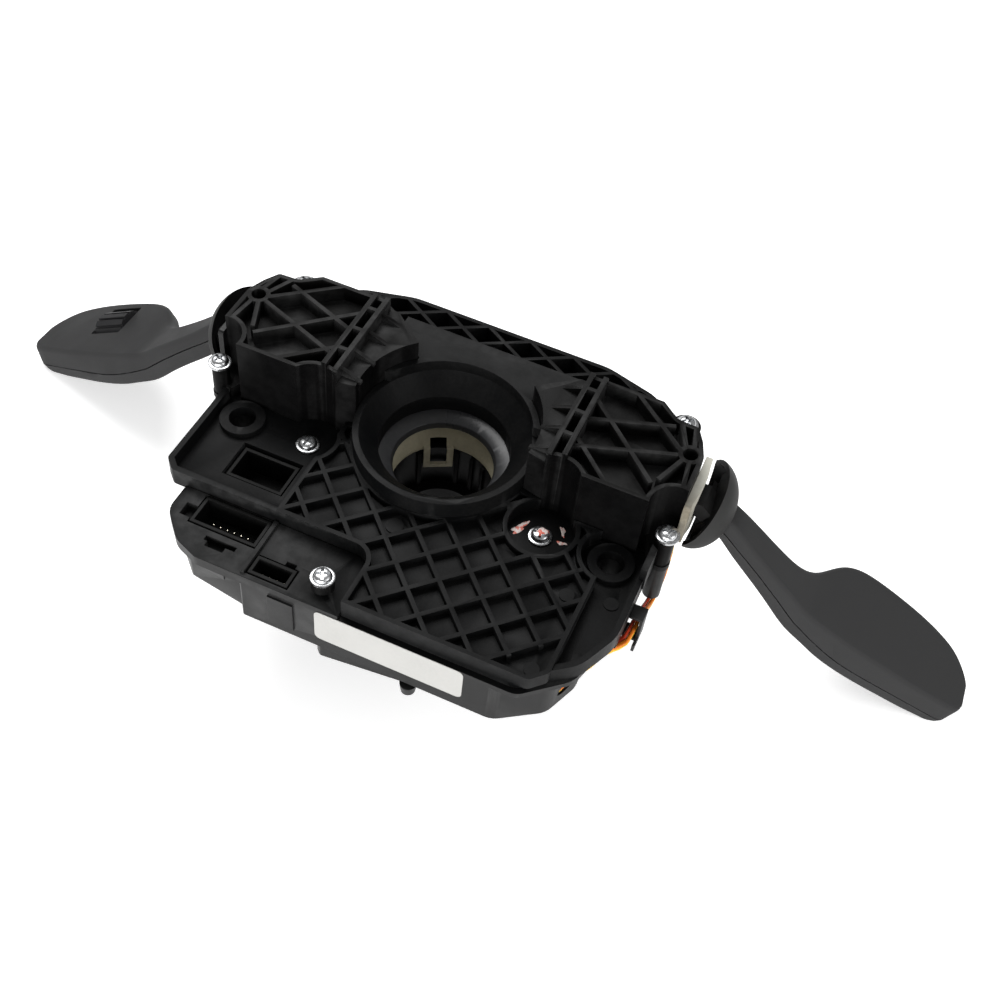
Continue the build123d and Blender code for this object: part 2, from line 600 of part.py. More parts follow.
def lever():
    """Lever through the gimbal, with a tang that the stalk shells clamp."""
    x, y, z = PIVOT
    half = LEVER_HEIGHT / 2
    bar_points = [(TAIL_END, z - half), (TAIL_END, z + half), (LEVER_END - 6.0, z + half),
                  (LEVER_END, z + half - 6.0), (LEVER_END - 2.5, z - half - 4.0), (LEVER_END - 7.5, z - half)]
    bar = side_slab(bar_points, y - LEVER_WIDTH / 2, y + LEVER_WIDTH / 2)
    head_points = [(LEVER_END - 6.0, z + half - 1.5), (LEVER_END, z + half - 6.0),
                   (LEVER_END - 2.5, z - half - 4.0), (LEVER_END - 6.0, z - half - 0.5)]
    bar += side_slab(head_points, y, TANG_Y[1])
    tang_points = [on_arm(-4.0, TANG_DEPTH[0]), on_arm(TANG_LENGTH, TANG_DEPTH[0]),
                   on_arm(TANG_LENGTH, TANG_DEPTH[1]), on_arm(-4.0, TANG_DEPTH[1])]
    bar += side_slab(tang_points, *TANG_Y)
    bore = Plane.XZ.offset(-(y - LEVER_WIDTH)) * (Pos(x, z) * Circle(PIN_RADIUS + RUNNING))
    bar -= extrude(bore, 2 * LEVER_WIDTH, dir=(0, 1, 0))
    plunger_hole = Plane.YZ.offset(TAIL_END) * (Pos(y, z) * Circle(PLUNGER_RADIUS + RUNNING))
    return bar - extrude(plunger_hole, 9.0)


def plunger():
    """Detent plunger with a round nose, in the lever's tail."""
    x, y, z = PIVOT
    r = PLUNGER_RADIUS
    outline = ThreePointArc((0, 0), (r - r * cos(radians(45)), r * sin(radians(45))), (r, r))
    outline += Polyline((r, r), (r + 5.0, r), (r + 5.0, 0), (0, 0))
    pin = revolve(make_face(outline), Axis.X)
    return Pos(x - PLUNGER_REACH, y, z) * pin


SPRING_WIRE = 0.45


def plunger_spring():
    """Coil spring behind the detent plunger."""
    x, y, z = PIVOT
    start = x - PLUNGER_REACH + PLUNGER_RADIUS + 5.0 + SPRING_WIRE / 2
    end = TAIL_END + 9.0 - SPRING_WIRE / 2
    coil = Helix(pitch=(end - start) / 4, height=end - start, radius=PLUNGER_RADIUS - SPRING_WIRE)
    section = Plane(origin=coil @ 0, z_dir=coil % 0) * RegularPolygon(SPRING_WIRE / 2, 6)
    spring = sweep(section, path=coil, is_frenet=True)
    return Pos(start, y, z) * Rot(0, 90, 0) * spring


def detent_track():
    """Block with a hollow round the pivot that the plunger rides in."""
    x, y, z = PIVOT
    body = block(CAVITY_START, x - 18.0, y - 8.0, y + 8.0, z - 6.0, z + 7.0)
    return body - Pos(x, y, z) * Sphere(PLUNGER_REACH + TRACK_GAP)


# ================================================================ hood and stalk shells
MOUTH_TILT = (0.862, 0.17, -0.477)  # direction that the hood's mouth faces away from
hub_low = (OUTBOARD + 6.6, 5.0, -29.0)
hub_high = (OUTBOARD + 30.0, 23.4, -9.5)
HOOD_WEBS = (7.5, 20.0)             # Y of the thin webs beside the hub
WEB_THICKNESS = 1.2


def hood_solid(grow=0.0):
    dome = scale(Sphere(1.0), by=tuple(half + grow for half in HOOD_HALF))
    return Pos(*HOOD_CENTRE) * dome


def hood():
    """Domed hood at the stalk's root, its tilted mouth open towards the switch housing."""
    mouth = Plane(origin=HOOD_CENTRE, z_dir=MOUTH_TILT)
    behind = extrude(mouth * Rectangle(120.0, 120.0), 60.0)
    behind &= block(HOOD_NEAREST, OUTBOARD + 60.0, -40.0, 70.0, -70.0, 30.0)
    shell = hood_solid() - hood_solid(-HOOD_WALL)
    hub = block(hub_low[0], hub_high[0], hub_low[1], hub_high[1], hub_low[2], hub_high[2])
    inside = hood_solid(-HOOD_WALL / 2) & hub
    for y in HOOD_WEBS:
        web = block(hub_low[0] - 2.5, hub_high[0], y - WEB_THICKNESS / 2, y + WEB_THICKNESS / 2, -60.0, 10.0)
        inside += hood_solid(-HOOD_WALL / 2) & web
    return ((shell + inside) & behind) - lever()


# Sections of the stalk: distance along it, then Y of the ridge, of the seam line's edge, of the front
# edge and of the far edge, then the depths of the seam and of the front face under the rear face.
arm_sections = [
    (-9.0, 13.2, 12.2, 16.8, 22.6, 4.5, 11.5),
    (5.0, 12.9, 12.0, 16.3, 23.2, 4.5, 11.5),
    (17.0, 12.6, 11.9, 15.3, 24.7, 4.5, 11.5),
    (30.0, 12.7, 11.6, 14.0, 25.8, 4.5, 11.5),
    (42.0, 13.1, 11.3, 12.8, 28.3, 4.9, 11.7),
]
knee_section = (13.3, 11.3, 12.3, 35.4, 5.8, 12.4)
paddle_sections = [
    (7.0, 13.5, 11.3, 12.0, 43.8, 6.8, 13.0),
    (14.0, 14.1, 11.3, 11.7, 48.2, 7.4, 13.4),
    (23.0, 15.2, 12.0, 12.2, 50.2, 7.8, 13.5),
    (34.0, 16.7, 14.1, 13.8, 51.0, 8.0, 13.5),
    (46.0, 18.4, 16.6, 16.4, 51.0, 8.0, 13.5),
    (56.0, 20.2, 18.7, 18.8, 49.8, 8.0, 13.5),
    (63.0, 21.6, 20.2, 20.8, 47.4, 8.0, 13.4),
    (67.5, 22.9, 21.2, 22.0, 43.8, 8.0, 13.2),
    (paddle_length - 0.8, 24.6, 22.6, 23.6, 40.2, 8.0, 12.9),
    (paddle_length, 26.0, 24.2, 25.2, 38.2, 8.0, 12.6),
]
section_radii = [2.2, 1.6, 2.0, 2.4, 3.0, 2.4]
FAR_INSET = 3.0             # the front face stops this far short of the far edge
FAR_BULGE = 0.4


def stalk_section(origin, run, row):
    """Rounded six-sided section of the stalk, square to its run."""
    ridge, seam, front, far, seam_depth, thickness = row
    frame = Plane(origin=(origin[0], 0, origin[1]), x_dir=(0, 1, 0), z_dir=(run[0], 0, run[1]))
    corners = [(ridge, 0.0), (seam, -seam_depth), (front, -thickness), (far - FAR_INSET, -thickness),
               (far + FAR_BULGE, -seam_depth), (far - 0.2, -0.4)]
    return frame * face(corners, section_radii)


def stalk_solid():
    """Whole stalk before it is split at its seam, lofted from arm to paddle."""
    rows = [stalk_section(on_arm(row[0], 0.0), ARM_DIR, row[1:]) for row in arm_sections]
    middle = (ARM_DIR[0] + PADDLE_DIR[0], ARM_DIR[1] + PADDLE_DIR[1])
    rows.append(stalk_section(ARM_KNEE, middle, knee_section))
    rows += [stalk_section(on_paddle(row[0], 0.0), PADDLE_DIR, row[1:]) for row in paddle_sections]
    return loft(rows) - hood_solid()


def behind_seam():
    """Everything on the rear side of the seam."""
    seam = [on_arm(row[0] - 3.0, row[5]) for row in arm_sections]
    seam.append(on_arm(arm_length - 0.5, knee_section[4]))
    seam += [on_paddle(row[0], row[5]) for row in paddle_sections[:4]] + [on_paddle(paddle_length + 9.0, 8.0)]
    rear = [on_arm(-12.0, -6.0), on_arm(arm_length - 2.0, -8.0), on_paddle(paddle_length + 9.0, -8.0)]
    return side_slab(rear + seam[::-1], 0.0, 60.0)


def tang_pocket():
    points = [on_arm(-14.0, TANG_DEPTH[0] - 0.05), on_arm(TANG_LENGTH + 0.1, TANG_DEPTH[0] - 0.05),
              on_arm(TANG_LENGTH + 0.1, TANG_DEPTH[1] + 0.05), on_arm(-14.0, TANG_DEPTH[1] + 0.05)]
    return side_slab(points, TANG_Y[0] - 0.05, TANG_Y[1] + 0.05)


WHEEL_ALONG = 32.6          # middle of the thumb wheel, from the knee
WHEEL_Y = 37.8
wheel_x, wheel_z = on_paddle(WHEEL_ALONG, WHEEL_DEPTH)
WHEEL_PLANE = Plane(origin=(wheel_x, WHEEL_Y, wheel_z), x_dir=(0, 1, 0),
                    z_dir=(PADDLE_DIR[0], 0, PADDLE_DIR[1]))
WHEEL_SWEEP = 62.0          # half angle of the knurled sector
WHEEL_GAP = 0.5
AXLE_RADIUS = 1.0
HUB_RADIUS = 2.2
LUG_COUNT = 5
LUG_WIDTH = 2.4
LUG_HEIGHT = 1.4
LUG_EDGE = 9.0              # degrees from the sector's edge to the middle of its last lug
WHEEL_POCKET_DEPTH = 9.2


def wheel_pocket():
    x0, z0 = on_paddle(WHEEL_ALONG, 0.0)
    frame = Plane(origin=(x0, WHEEL_Y, z0), x_dir=(PADDLE_DIR[0], 0, PADDLE_DIR[1]),
                  z_dir=(PADDLE_NORMAL[0], 0, PADDLE_NORMAL[1]))
    opening = frame * RectangleRounded(WHEEL_WIDTH + 2 * WHEEL_GAP, 2 * (WHEEL_RADIUS + WHEEL_GAP), 0.8)
    return extrude(opening, 3.0) + extrude(opening, -WHEEL_POCKET_DEPTH)


def sector(radius, half_angle):
    """Pie slice in the wheel's own plane, opening towards the rear face."""
    left = (radius * sin(radians(-half_angle)), radius * cos(radians(half_angle)))
    right = (-left[0], left[1])
    return make_face(Polyline(left, (0, 0), right) + ThreePointArc(right, (0, radius), left))


def thumb_wheel():
    """Sector with broad lugs on a hub, turning on a steel axle along the paddle."""
    up = WHEEL_PLANE.y_dir
    flip = 1 if up.Z > 0 else -1
    pie = sector(WHEEL_RADIUS - LUG_HEIGHT / 2, WHEEL_SWEEP) + Circle(HUB_RADIUS)
    for number in range(LUG_COUNT):
        angle = (WHEEL_SWEEP - LUG_EDGE) * (2 * number / (LUG_COUNT - 1) - 1)
        pie += Rot(0, 0, angle) * (Pos(0, WHEEL_RADIUS - LUG_HEIGHT) * Rectangle(LUG_WIDTH, 2 * LUG_HEIGHT))
    pie -= Circle(AXLE_RADIUS + RUNNING)
    if flip < 0:
        pie = Rot(0, 0, 180) * pie
    start = WHEEL_PLANE.offset(-WHEEL_WIDTH / 2) * pie
    return extrude(start, WHEEL_WIDTH)


def wheel_axle(extra=0.0):
    length = WHEEL_WIDTH + 2 * WHEEL_GAP + 3.0 + extra
    return extrude(WHEEL_PLANE.offset(-length / 2) * Circle(AXLE_RADIUS), length)


BUTTON_Y = (26.4, 35.0)
BUTTON_DEPTH = (3.0, 10.2)
BUTTON_LENGTH = 8.0
BUTTON_PROUD = 2.0
BUTTON_GAP = 0.3
BUTTON_SLANT = 2.2


def in_space(point, y):
    """Point in space from its (X, Z) and its Y."""
    return (point[0], y, point[1])


def button_block(gap, start, end):
    points = [on_paddle(start, BUTTON_DEPTH[0] - gap), on_paddle(end, BUTTON_DEPTH[0] - gap),
              on_paddle(end, BUTTON_DEPTH[1] + gap), on_paddle(start, BUTTON_DEPTH[1] + gap)]
    return side_slab(points, BUTTON_Y[0] - gap, BUTTON_Y[1] + gap)


button_end = paddle_length + BUTTON_PROUD
button_start = button_end - BUTTON_LENGTH


def tip_button():
    """Push button whose outer corners are cut at a slant."""
    body = button_block(0.0, button_start, button_end)
    inwards = (-PADDLE_NORMAL[0], 0, -PADDLE_NORMAL[1])
    for y, way in ((BUTTON_Y[0], 1), (BUTTON_Y[1], -1)):
        corner = [(button_end - BUTTON_SLANT, y), (button_end + 1.0, y - way * 1.0),
                  (button_end + 1.0, y + way * BUTTON_SLANT)]
        outline = [in_space(on_paddle(along, -5.0), side) for along, side in corner]
        body -= extrude(make_face(Polyline(*outline, close=True)), 30.0, dir=inwards)
    return body


def button_pocket():
    return button_block(BUTTON_GAP, button_start - BUTTON_TRAVEL - 1.0, button_end + 5.0)


# ================================================================ electronics housing
HOUSING_TOP = FLOOR_UNDERSIDE - STACK_GAP
TOP_THICKNESS = 2.2
SIDE_WALL = 2.2
BLOCK_BOTTOM = -74.3
BLOCK_LEFT = 10.0 - HALF_WIDTH
connector_block = [(BLOCK_LEFT, TRAY_BOTTOM - 0.3), (BLOCK_LEFT, -61.5), (BLOCK_LEFT + 9.0, -71.0),
                   (BLOCK_LEFT + 17.5, BLOCK_BOTTOM),
                   (STEP_X - 0.3, BLOCK_BOTTOM), (STEP_X - 0.3, TRAY_BOTTOM - 0.3)]
FLANGE_EDGE = HALF_WIDTH - 2.5
flange_outline = [(BLOCK_LEFT, -46.0), (BLOCK_LEFT, -61.5), (BLOCK_LEFT + 9.0, -71.0),
                  (BLOCK_LEFT + 17.5, BLOCK_BOTTOM), (FLANGE_EDGE - 18.5, BLOCK_BOTTOM),
                  (FLANGE_EDGE - 4.5, -62.0), (FLANGE_EDGE, -46.0), (FLANGE_EDGE, 10.0),
                  (FLANGE_EDGE - 7.0, 34.0), (FLANGE_EDGE - 23.0, 44.0), (23.0 - FLANGE_EDGE, 44.0),
                  (7.0 - FLANGE_EDGE, 34.0), (1.0 - FLANGE_EDGE, 10.0), (1.0 - FLANGE_EDGE, -40.0)]
flange_radii = [2.0, 8.0, 8.0, 6.0, 6.0, 10.0, 10.0, 10.0, 10.0, 8.0, 8.0, 10.0, 10.0, 4.0]
WALL_EDGE = HALF_WIDTH - 8.0
wall_outline = [(BLOCK_LEFT + 4.5, -46.0), (BLOCK_LEFT + 4.5, -62.0), (BLOCK_LEFT + 11.0, -68.2),
                (-36.4, -71.4), (-36.4, BLOCK_BOTTOM), (WALL_EDGE - 19.5, BLOCK_BOTTOM),
                (WALL_EDGE - 5.0, -64.5), (WALL_EDGE, -52.0), (WALL_EDGE, 30.0), (WALL_EDGE - 17.5, 42.0),
                (17.5 - WALL_EDGE, 42.0), (1.5 - WALL_EDGE, 30.0), (1.5 - WALL_EDGE, -40.0)]
wall_radii = [2.5, 3.0, 2.0, 0.0, 1.0, 8.0, 8.0, 8.0, 8.0, 8.0, 8.0, 8.0, 4.0]
POST_END = -45.0
BORE_SEAT = 20.8            # hole in the housing's top that centres the bore ring
WALL_END = -48.8            # lower end of the side walls, a little past the bosses that carry the cover
SOCKET_12 = (-61.0, -36.9, -62.7, -51.4)    # X low, X high, Y low, Y high
SOCKET_4 = (-34.4, -20.4, -72.0, -64.8)
SOCKET_GAP = 0.5
plug_keys = [(-65.4, -60.0, -61.5, -56.4), (-53.0, -41.8, -67.1, -65.3), (-51.6, -45.0, -69.1, -67.0),
             (-25.2, -21.6, -64.4, -62.7)]      # recesses beside the sockets for the plugs' keys and latches
wall_slots = [(-43.4, -41.8), (-39.9, -38.3)]   # X of the two short slots under the twelve-way socket
SLOT_Z = (-37.0, -31.5)
latch_pad = [(-52.5, -69.4), (-44.5, -70.6), (-44.5, -69.5), (-52.5, -68.0)]
BOSS_RADIUS = 4.0
PAD = (-26.0, -17.0)        # raised pad on the side wall, X range


def fastener_bosses():
    made = []
    for side in (-1, 1):
        at = (side * TRAY_SCREW[0], TRAY_SCREW[1])
        made.append(disc(BOSS_RADIUS, HOUSING_TOP, -41.0 - FLOOR_THICKNESS, at))
        made.append(disc(POST_RADIUS, HOUSING_TOP, POST_END, (side * POST[0], POST[1])))
        inner = FLANGE_EDGE - 3.0
        web = [(side * inner, POST[1] - 1.2), (side * inner, POST[1] + 1.2), (side * POST[0], POST[1] + 1.2),
               (side * POST[0], POST[1] - 1.2)]
        made.append(slab(face(web), HOUSING_TOP, POST_END + 4.0))
    made.append(disc(BOSS_RADIUS - 0.3, BLOCK_SCREW_SEAT, -39.5, BLOCK_SCREW))
    for spot in COVER_SCREWS:
        made.append(disc(BOSS_RADIUS, HOUSING_TOP - 1.0, HOUSING_END, spot))
    return made


def fastener_holes():
    made = [pilot(BLOCK_SCREW, BLOCK_SCREW_SEAT, SCREW_LENGTH)]
    for side in (-1, 1):
        made.append(pilot((side * TRAY_SCREW[0], TRAY_SCREW[1]), HOUSING_TOP, SCREW_LENGTH))
        made.append(pilot((side * POST[0], POST[1]), HOUSING_TOP, SCREW_LENGTH))
        at = (side * ACCESS_HOLE[0], ACCESS_HOLE[1])
        made.append(disc(ACCESS_RADIUS, HOUSING_TOP, HOUSING_END, at))
    for spot in COVER_SCREWS:
        made.append(pilot(spot, HOUSING_END + SCREW_LENGTH, SCREW_LENGTH))
    return made


def socket_cut(box, gap, top, bottom):
    x0, x1, y0, y1 = box
    return block(x0 - gap, x1 + gap, y0 - gap, y1 + gap, bottom, top)


def electronics_housing():
    """Lower moulding: top deck, connector block, and side walls open at the front."""
    deck_bottom = HOUSING_TOP - TOP_THICKNESS
    body = slab(face(flange_outline, flange_radii), HOUSING_TOP, deck_bottom)
    body += slab(face(connector_block, [0.0, 8.0, 8.0, 6.0, 0.0, 6.0]), CONNECTOR_FACE, HOUSING_TOP)
    walls = face(wall_outline, wall_radii)
    body += slab(walls - offset(walls, -SIDE_WALL), deck_bottom, WALL_END)
    body += slab(face(latch_pad), deck_bottom, deck_bottom - 8.5)
    body += fastener_bosses()
    body += block(*PAD, BLOCK_BOTTOM - 0.8, BLOCK_BOTTOM + 0.2, HOUSING_END + 3.0, deck_bottom)
    divider = block(-36.3, -34.9, -73.0, TRAY_BOTTOM - 0.6, CONNECTOR_FACE, CONNECTOR_FACE + 1.2)
    body += divider
    body -= disc(BORE_SEAT, HOUSING_TOP, deck_bottom)
    body -= socket_cut(SOCKET_12, SOCKET_GAP, CONNECTOR_FACE + 3, BOARD_TOP)
    body -= socket_cut(SOCKET_4, SOCKET_GAP, CONNECTOR_FACE + 3, BOARD_TOP)
    for key in plug_keys:
        body -= socket_cut(key, 0.0, CONNECTOR_FACE + 3, deck_bottom + 0.6)
    for x0, x1 in wall_slots:
        body -= block(x0, x1, -73.0, -70.2, *SLOT_Z)
    body -= socket_cut(TRAY_SOCKET, -0.6, HOUSING_TOP, deck_bottom)
    body -= fastener_holes()
    body -= lead_hole()
    for side in (-1, 1):
        at = (side * ACCESS_HOLE[0], ACCESS_HOLE[1])
        body += tube(ACCESS_RADIUS + 1.6, ACCESS_RADIUS, deck_bottom, HOUSING_END, at)
    return body


COVER_HOLE = 22.5
COVER_INSET = SIDE_WALL + 0.3
PEG = (22.6, -72.4)
PEG_RADIUS = 2.9
PEG_LENGTH = 4.2
cover_foot = [(-10.5, -60.0), (-10.5, -71.8), (-8.5, -73.6), (24.0, -70.4), (24.0, -60.0)]
COVER_FOOT_DEPTH = 4.2


def front_cover():
    """Plate that closes the electronics housing, with its locating peg."""
    outline = offset(face(wall_outline, wall_radii), -COVER_INSET)
    plate = slab(outline, HOUSING_END - STACK_GAP, COVER_SEAT)
    foot_end = COVER_SEAT - COVER_FOOT_DEPTH
    plate += slab(face(cover_foot, [0.0, 1.0, 1.5, 2.0, 0.0]), COVER_SEAT + 1.0, foot_end)
    peg = Pos(PEG[0], PEG[1], COVER_SEAT - PEG_LENGTH / 2) * Rot(180, 0, 0)
    plate += peg * Cone(PEG_RADIUS, PEG_RADIUS - 0.5, PEG_LENGTH)
    plate -= disc(COVER_HOLE, HOUSING_END, COVER_SEAT)
    for side in (-1, 1):
        at = (side * ACCESS_HOLE[0], ACCESS_HOLE[1])
        plate -= disc(ACCESS_RADIUS, HOUSING_END, COVER_SEAT, at)
    for spot in COVER_SCREWS:
        plate -= disc(SHANK_RADIUS + 0.3, HOUSING_END, COVER_SEAT, spot)
    return plate


# ================================================================ board, sockets and pins
BOARD_TOP = -40.4
SHROUD_WALL = 1.2
PIN_SIDE = 0.64
PIN_LENGTH = 5.0


def main_board():
    left, right = BLOCK_LEFT + 7.0, WALL_EDGE - 5.5
    outline = [(left + 5.5, -46.0), (left + 5.5, -60.0), (left + 11.5, -66.2), (-34.0, -66.2),
               (-33.0, -71.6), (right - 16.0, -71.6), (right - 4.0, -64.0), (right, -50.0),
               (right, -26.0), (left, -24.0), (left, -41.5)]
    board = slab(face(outline, 1.0), BOARD_TOP, BOARD_TOP - BOARD_THICKNESS)
    board -= disc(26.0, BOARD_TOP, BOARD_TOP - BOARD_THICKNESS)
    for spot in COVER_SCREWS[:2]:
        board -= disc(BOSS_RADIUS + 0.3, BOARD_TOP, BOARD_TOP - BOARD_THICKNESS, spot)
    return board


def shroud(box, top, floor_level):
    """Open rectangular connector shroud standing on the board."""
    x0, x1, y0, y1 = box
    body = block(x0, x1, y0, y1, BOARD_TOP, top)
    w = SHROUD_WALL
    return body - block(x0 + w, x1 - w, y0 + w, y1 - w, floor_level, top)


def pins(xs, ys, root, length):
    return group(Pos(x, y, root + length / 2) * Box(PIN_SIDE, PIN_SIDE, length) for y in ys for x in xs)


def spread(first, pitch, count):
    return [first + pitch * number for number in range(count)]


ANGLE_SENSOR_SLOT = 0.7


def angle_sensor():
    """Optical fork that reads the code disk's edge."""
    body = block(-7.0, 7.0, -41.0, -27.6, BOARD_TOP, CODE_DISK_LEVEL + 3.4)
    slot = block(-7.0, 7.0, -CODE_DISK_RADIUS - 1.0, -27.0,
                 CODE_DISK_LEVEL - ANGLE_SENSOR_SLOT, CODE_DISK_LEVEL + 0.8 + ANGLE_SENSOR_SLOT)
    return body - slot


# ================================================================ bore ring and clock spring
CASE_BACK = 2.0
CASE_WALL = 2.0
CASE_TOP = COVER_SEAT
CASE_END = CASE_TOP - CASE_DEPTH
FACE_GAP = 0.5
LIP_DEPTH = 8.0
BORE_RIBS = (58.0, 76.0, 96.0, 142.0, 236.0, 300.0)    # upright rails inside the rotor's tube, degrees
BORE_RIB_DEPTH = 1.0
BORE_RIB_WIDTH = 1.6
TAB_ANGLE = 119.0
TAB_WIDTH = 10.6
TAB_FACE = (15.5, 16.9)     # inner and outer face of the snap tab, from the axis
TAB_END = -51.4
WINDOW_WIDTH = 6.0


def bore_ring():
    """Grey conical ring that closes the gap round the rotor's rear end."""
    rim = CONE_END_RADIUS + REBATE - 0.1
    rim_top = FLOOR_UNDERSIDE + REBATE_DEPTH - 0.05
    seat = BORE_SEAT - 0.2
    profile = make_face(Polyline(
        (rim, rim_top), (CONE_END_RADIUS - 0.2, rim_top), (BORE_RING_RADIUS + 0.7, rim_top - 2.1),
        (BORE_RING_RADIUS, BORE_RING_END), (BORE_RING_RADIUS + 1.1, BORE_RING_END),
        (BORE_RING_RADIUS + 1.8, HOUSING_TOP - TOP_THICKNESS), (seat, HOUSING_TOP - TOP_THICKNESS + 0.4),
        (seat, HOUSING_TOP), (rim, HOUSING_TOP), close=True))
    return revolve(Plane.XZ * profile, Axis.Z)


def clockspring_case():
    """Stator can of the clock spring."""
    body = tube(CASE_RADIUS, ROTOR_TUBE + ROTOR_CLEARANCE, CASE_TOP, CASE_TOP - CASE_BACK)
    body += tube(CASE_RADIUS, CASE_RADIUS - CASE_WALL, CASE_TOP, CASE_END)
    for angle in (20, 160, 200, 340):
        lug = Rot(0, 0, angle) * (Pos(CASE_RADIUS + 2.5, 0) * RectangleRounded(9.0, 7.0, 2.0))
        body += slab(lug, CASE_TOP, CASE_TOP - 3.0)
    return body


def rotor():
    """Rotor: hub tube, inner lip, and the face that turns with the steering wheel."""
    face_top = CASE_END - FACE_GAP
    face_end = face_top - ROTOR_FACE_THICKNESS
    body = tube(ROTOR_TUBE, ROTOR_BORE, ROTOR_TOP, face_end)
    body += tube(CASE_RADIUS, ROTOR_BORE, face_top, face_end)
    body += tube(ROTOR_BORE + 0.5, ROTOR_LIP_BORE, face_end + LIP_DEPTH, face_end)
    for angle in BORE_RIBS:
        spot = Rot(0, 0, angle) * Pos(ROTOR_BORE - BORE_RIB_DEPTH / 2 + 0.3, 0)
        rail = spot * Rectangle(BORE_RIB_DEPTH + 0.6, BORE_RIB_WIDTH)
        body += slab(rail, ROTOR_TOP - 1.0, face_end + LIP_DEPTH - 0.5)
    for angle in (90, 270):
        nest = Rot(0, 0, angle) * Pos(33.0, 0) * RectangleRounded(9.0, 20.0, 1.5)
        hollow = Rot(0, 0, angle) * Pos(33.0, 0) * RectangleRounded(6.6, 17.6, 0.8)
        body += slab(nest - hollow, face_end, face_end - 5.0)
    for angle in (0, 180):
        at = (33.0 * cos(radians(angle)), 33.0 * sin(radians(angle)))
        body += disc(2.5, face_end, face_end - 5.0, at)
    return body


def drive_ring():
    """Cream funnel on the rotor's rear end with its U-shaped snap tab."""
    profile = make_face(Polyline(
        (DRIVE_BORE, ROTOR_TOP), (DRIVE_BORE, ROTOR_TOP + 1.5), (DRIVE_RADIUS - 2.0, DRIVE_TOP),
        (DRIVE_RADIUS, DRIVE_TOP), (DRIVE_RADIUS, CODE_DISK_LEVEL - 2.0),
        (ROTOR_TUBE + 0.3, CODE_DISK_LEVEL - 4.0), (ROTOR_TUBE + 0.3, ROTOR_TOP), close=True))
    ring = revolve(Plane.XZ * profile, Axis.Z)
    half = TAB_WIDTH / 2
    near, far = TAB_FACE
    tab = block(near, far, -half, half, TAB_END, ROTOR_TOP + 1.5)
    bridge = block(near, DRIVE_BORE + 1.0, -half, half, ROTOR_TOP + 0.05, ROTOR_TOP + 1.5)
    opening = WINDOW_WIDTH / 2
    window = block(near - 1.0, far + 1.0, -opening, opening, TAB_END + 1.5, ROTOR_TOP - 0.6)
    notch = block(DRIVE_BORE + 1.5, DRIVE_RADIUS + 1.0, -opening, opening, DRIVE_TOP - 1.2, DRIVE_TOP + 1.0)
    return ring + Rot(0, 0, TAB_ANGLE) * (tab + bridge - window) - Rot(0, 0, TAB_ANGLE) * notch


def code_disk():
    disk = tube(CODE_DISK_RADIUS, DRIVE_RADIUS, CODE_DISK_LEVEL + 0.8, CODE_DISK_LEVEL)
    for number in range(24):
        spot = Rot(0, 0, number * 15.0) * Pos(CODE_DISK_RADIUS - 1.6, 0) * Rectangle(1.6, 2.2)
        disk -= slab(spot, CODE_DISK_LEVEL + 0.8, CODE_DISK_LEVEL)
    return disk


def flat_cable():
    """Ribbon wound inside the can: half circles whose centres step aside to make a spiral."""
    inner = ROTOR_TUBE + CABLE_CLEARANCE + CABLE_THICKNESS / 2
    outer = CASE_RADIUS - CASE_WALL - STACK_GAP - CABLE_THICKNESS / 2
    step = (outer - inner) / (2 * CABLE_TURNS)
    edges = []
    for number in range(2 * CABLE_TURNS):
        lower_half = number % 2
        centre = (step * lower_half, 0)
        edges.append(CenterArc(centre, inner + number * step, 180 * lower_half, 180))
    ribbon = trace([Wire(edges)], CABLE_THICKNESS)
    return slab(ribbon, CASE_TOP - CASE_BACK - CABLE_CLEARANCE, CASE_END + CABLE_CLEARANCE)


# ================================================================ label, clip and leads
LABEL = (-9.6, 41.4, -43.8, -31.8)    # X low, X high, Z low, Z high
LABEL_CORNER = 2.0
LABEL_THICKNESS = 0.25


def label_plate():
    """Thin blank label with rounded corners on the lower wall."""
    x0, x1, z0, z1 = LABEL
    outline = Plane(origin=((x0 + x1) / 2, BLOCK_BOTTOM, (z0 + z1) / 2), x_dir=(1, 0, 0), z_dir=(0, -1, 0))
    return extrude(outline * RectangleRounded(x1 - x0, z1 - z0, LABEL_CORNER), LABEL_THICKNESS)


WIRE_RADIUS = 0.6
WIRE_PITCH = 1.4
CLIP_Y = (-31.5, -26.0)
CLIP_REACH = 4.7            # from the carrier's wall to the clip's outer face
CLIP_BAR = 1.0
CLIP_TOP = -30.0
CLIP_END = -41.8


def wire_clip():
    """Hook on the carrier's right-hand skirt that holds the leads."""
    outer = HALF_WIDTH + CLIP_REACH
    hook = block(HALF_WIDTH, outer, *CLIP_Y, CLIP_TOP - CLIP_BAR, CLIP_TOP)
    hook += block(outer - CLIP_BAR, outer, *CLIP_Y, CLIP_END, CLIP_TOP)
    hook += block(HALF_WIDTH - 0.8, outer, *CLIP_Y, CLIP_END, CLIP_END + CLIP_BAR)
    return hook + block(outer - CLIP_BAR, outer, CLIP_Y[0] - 4.0, CLIP_Y[0], CLIP_END, CLIP_END + 3.0)


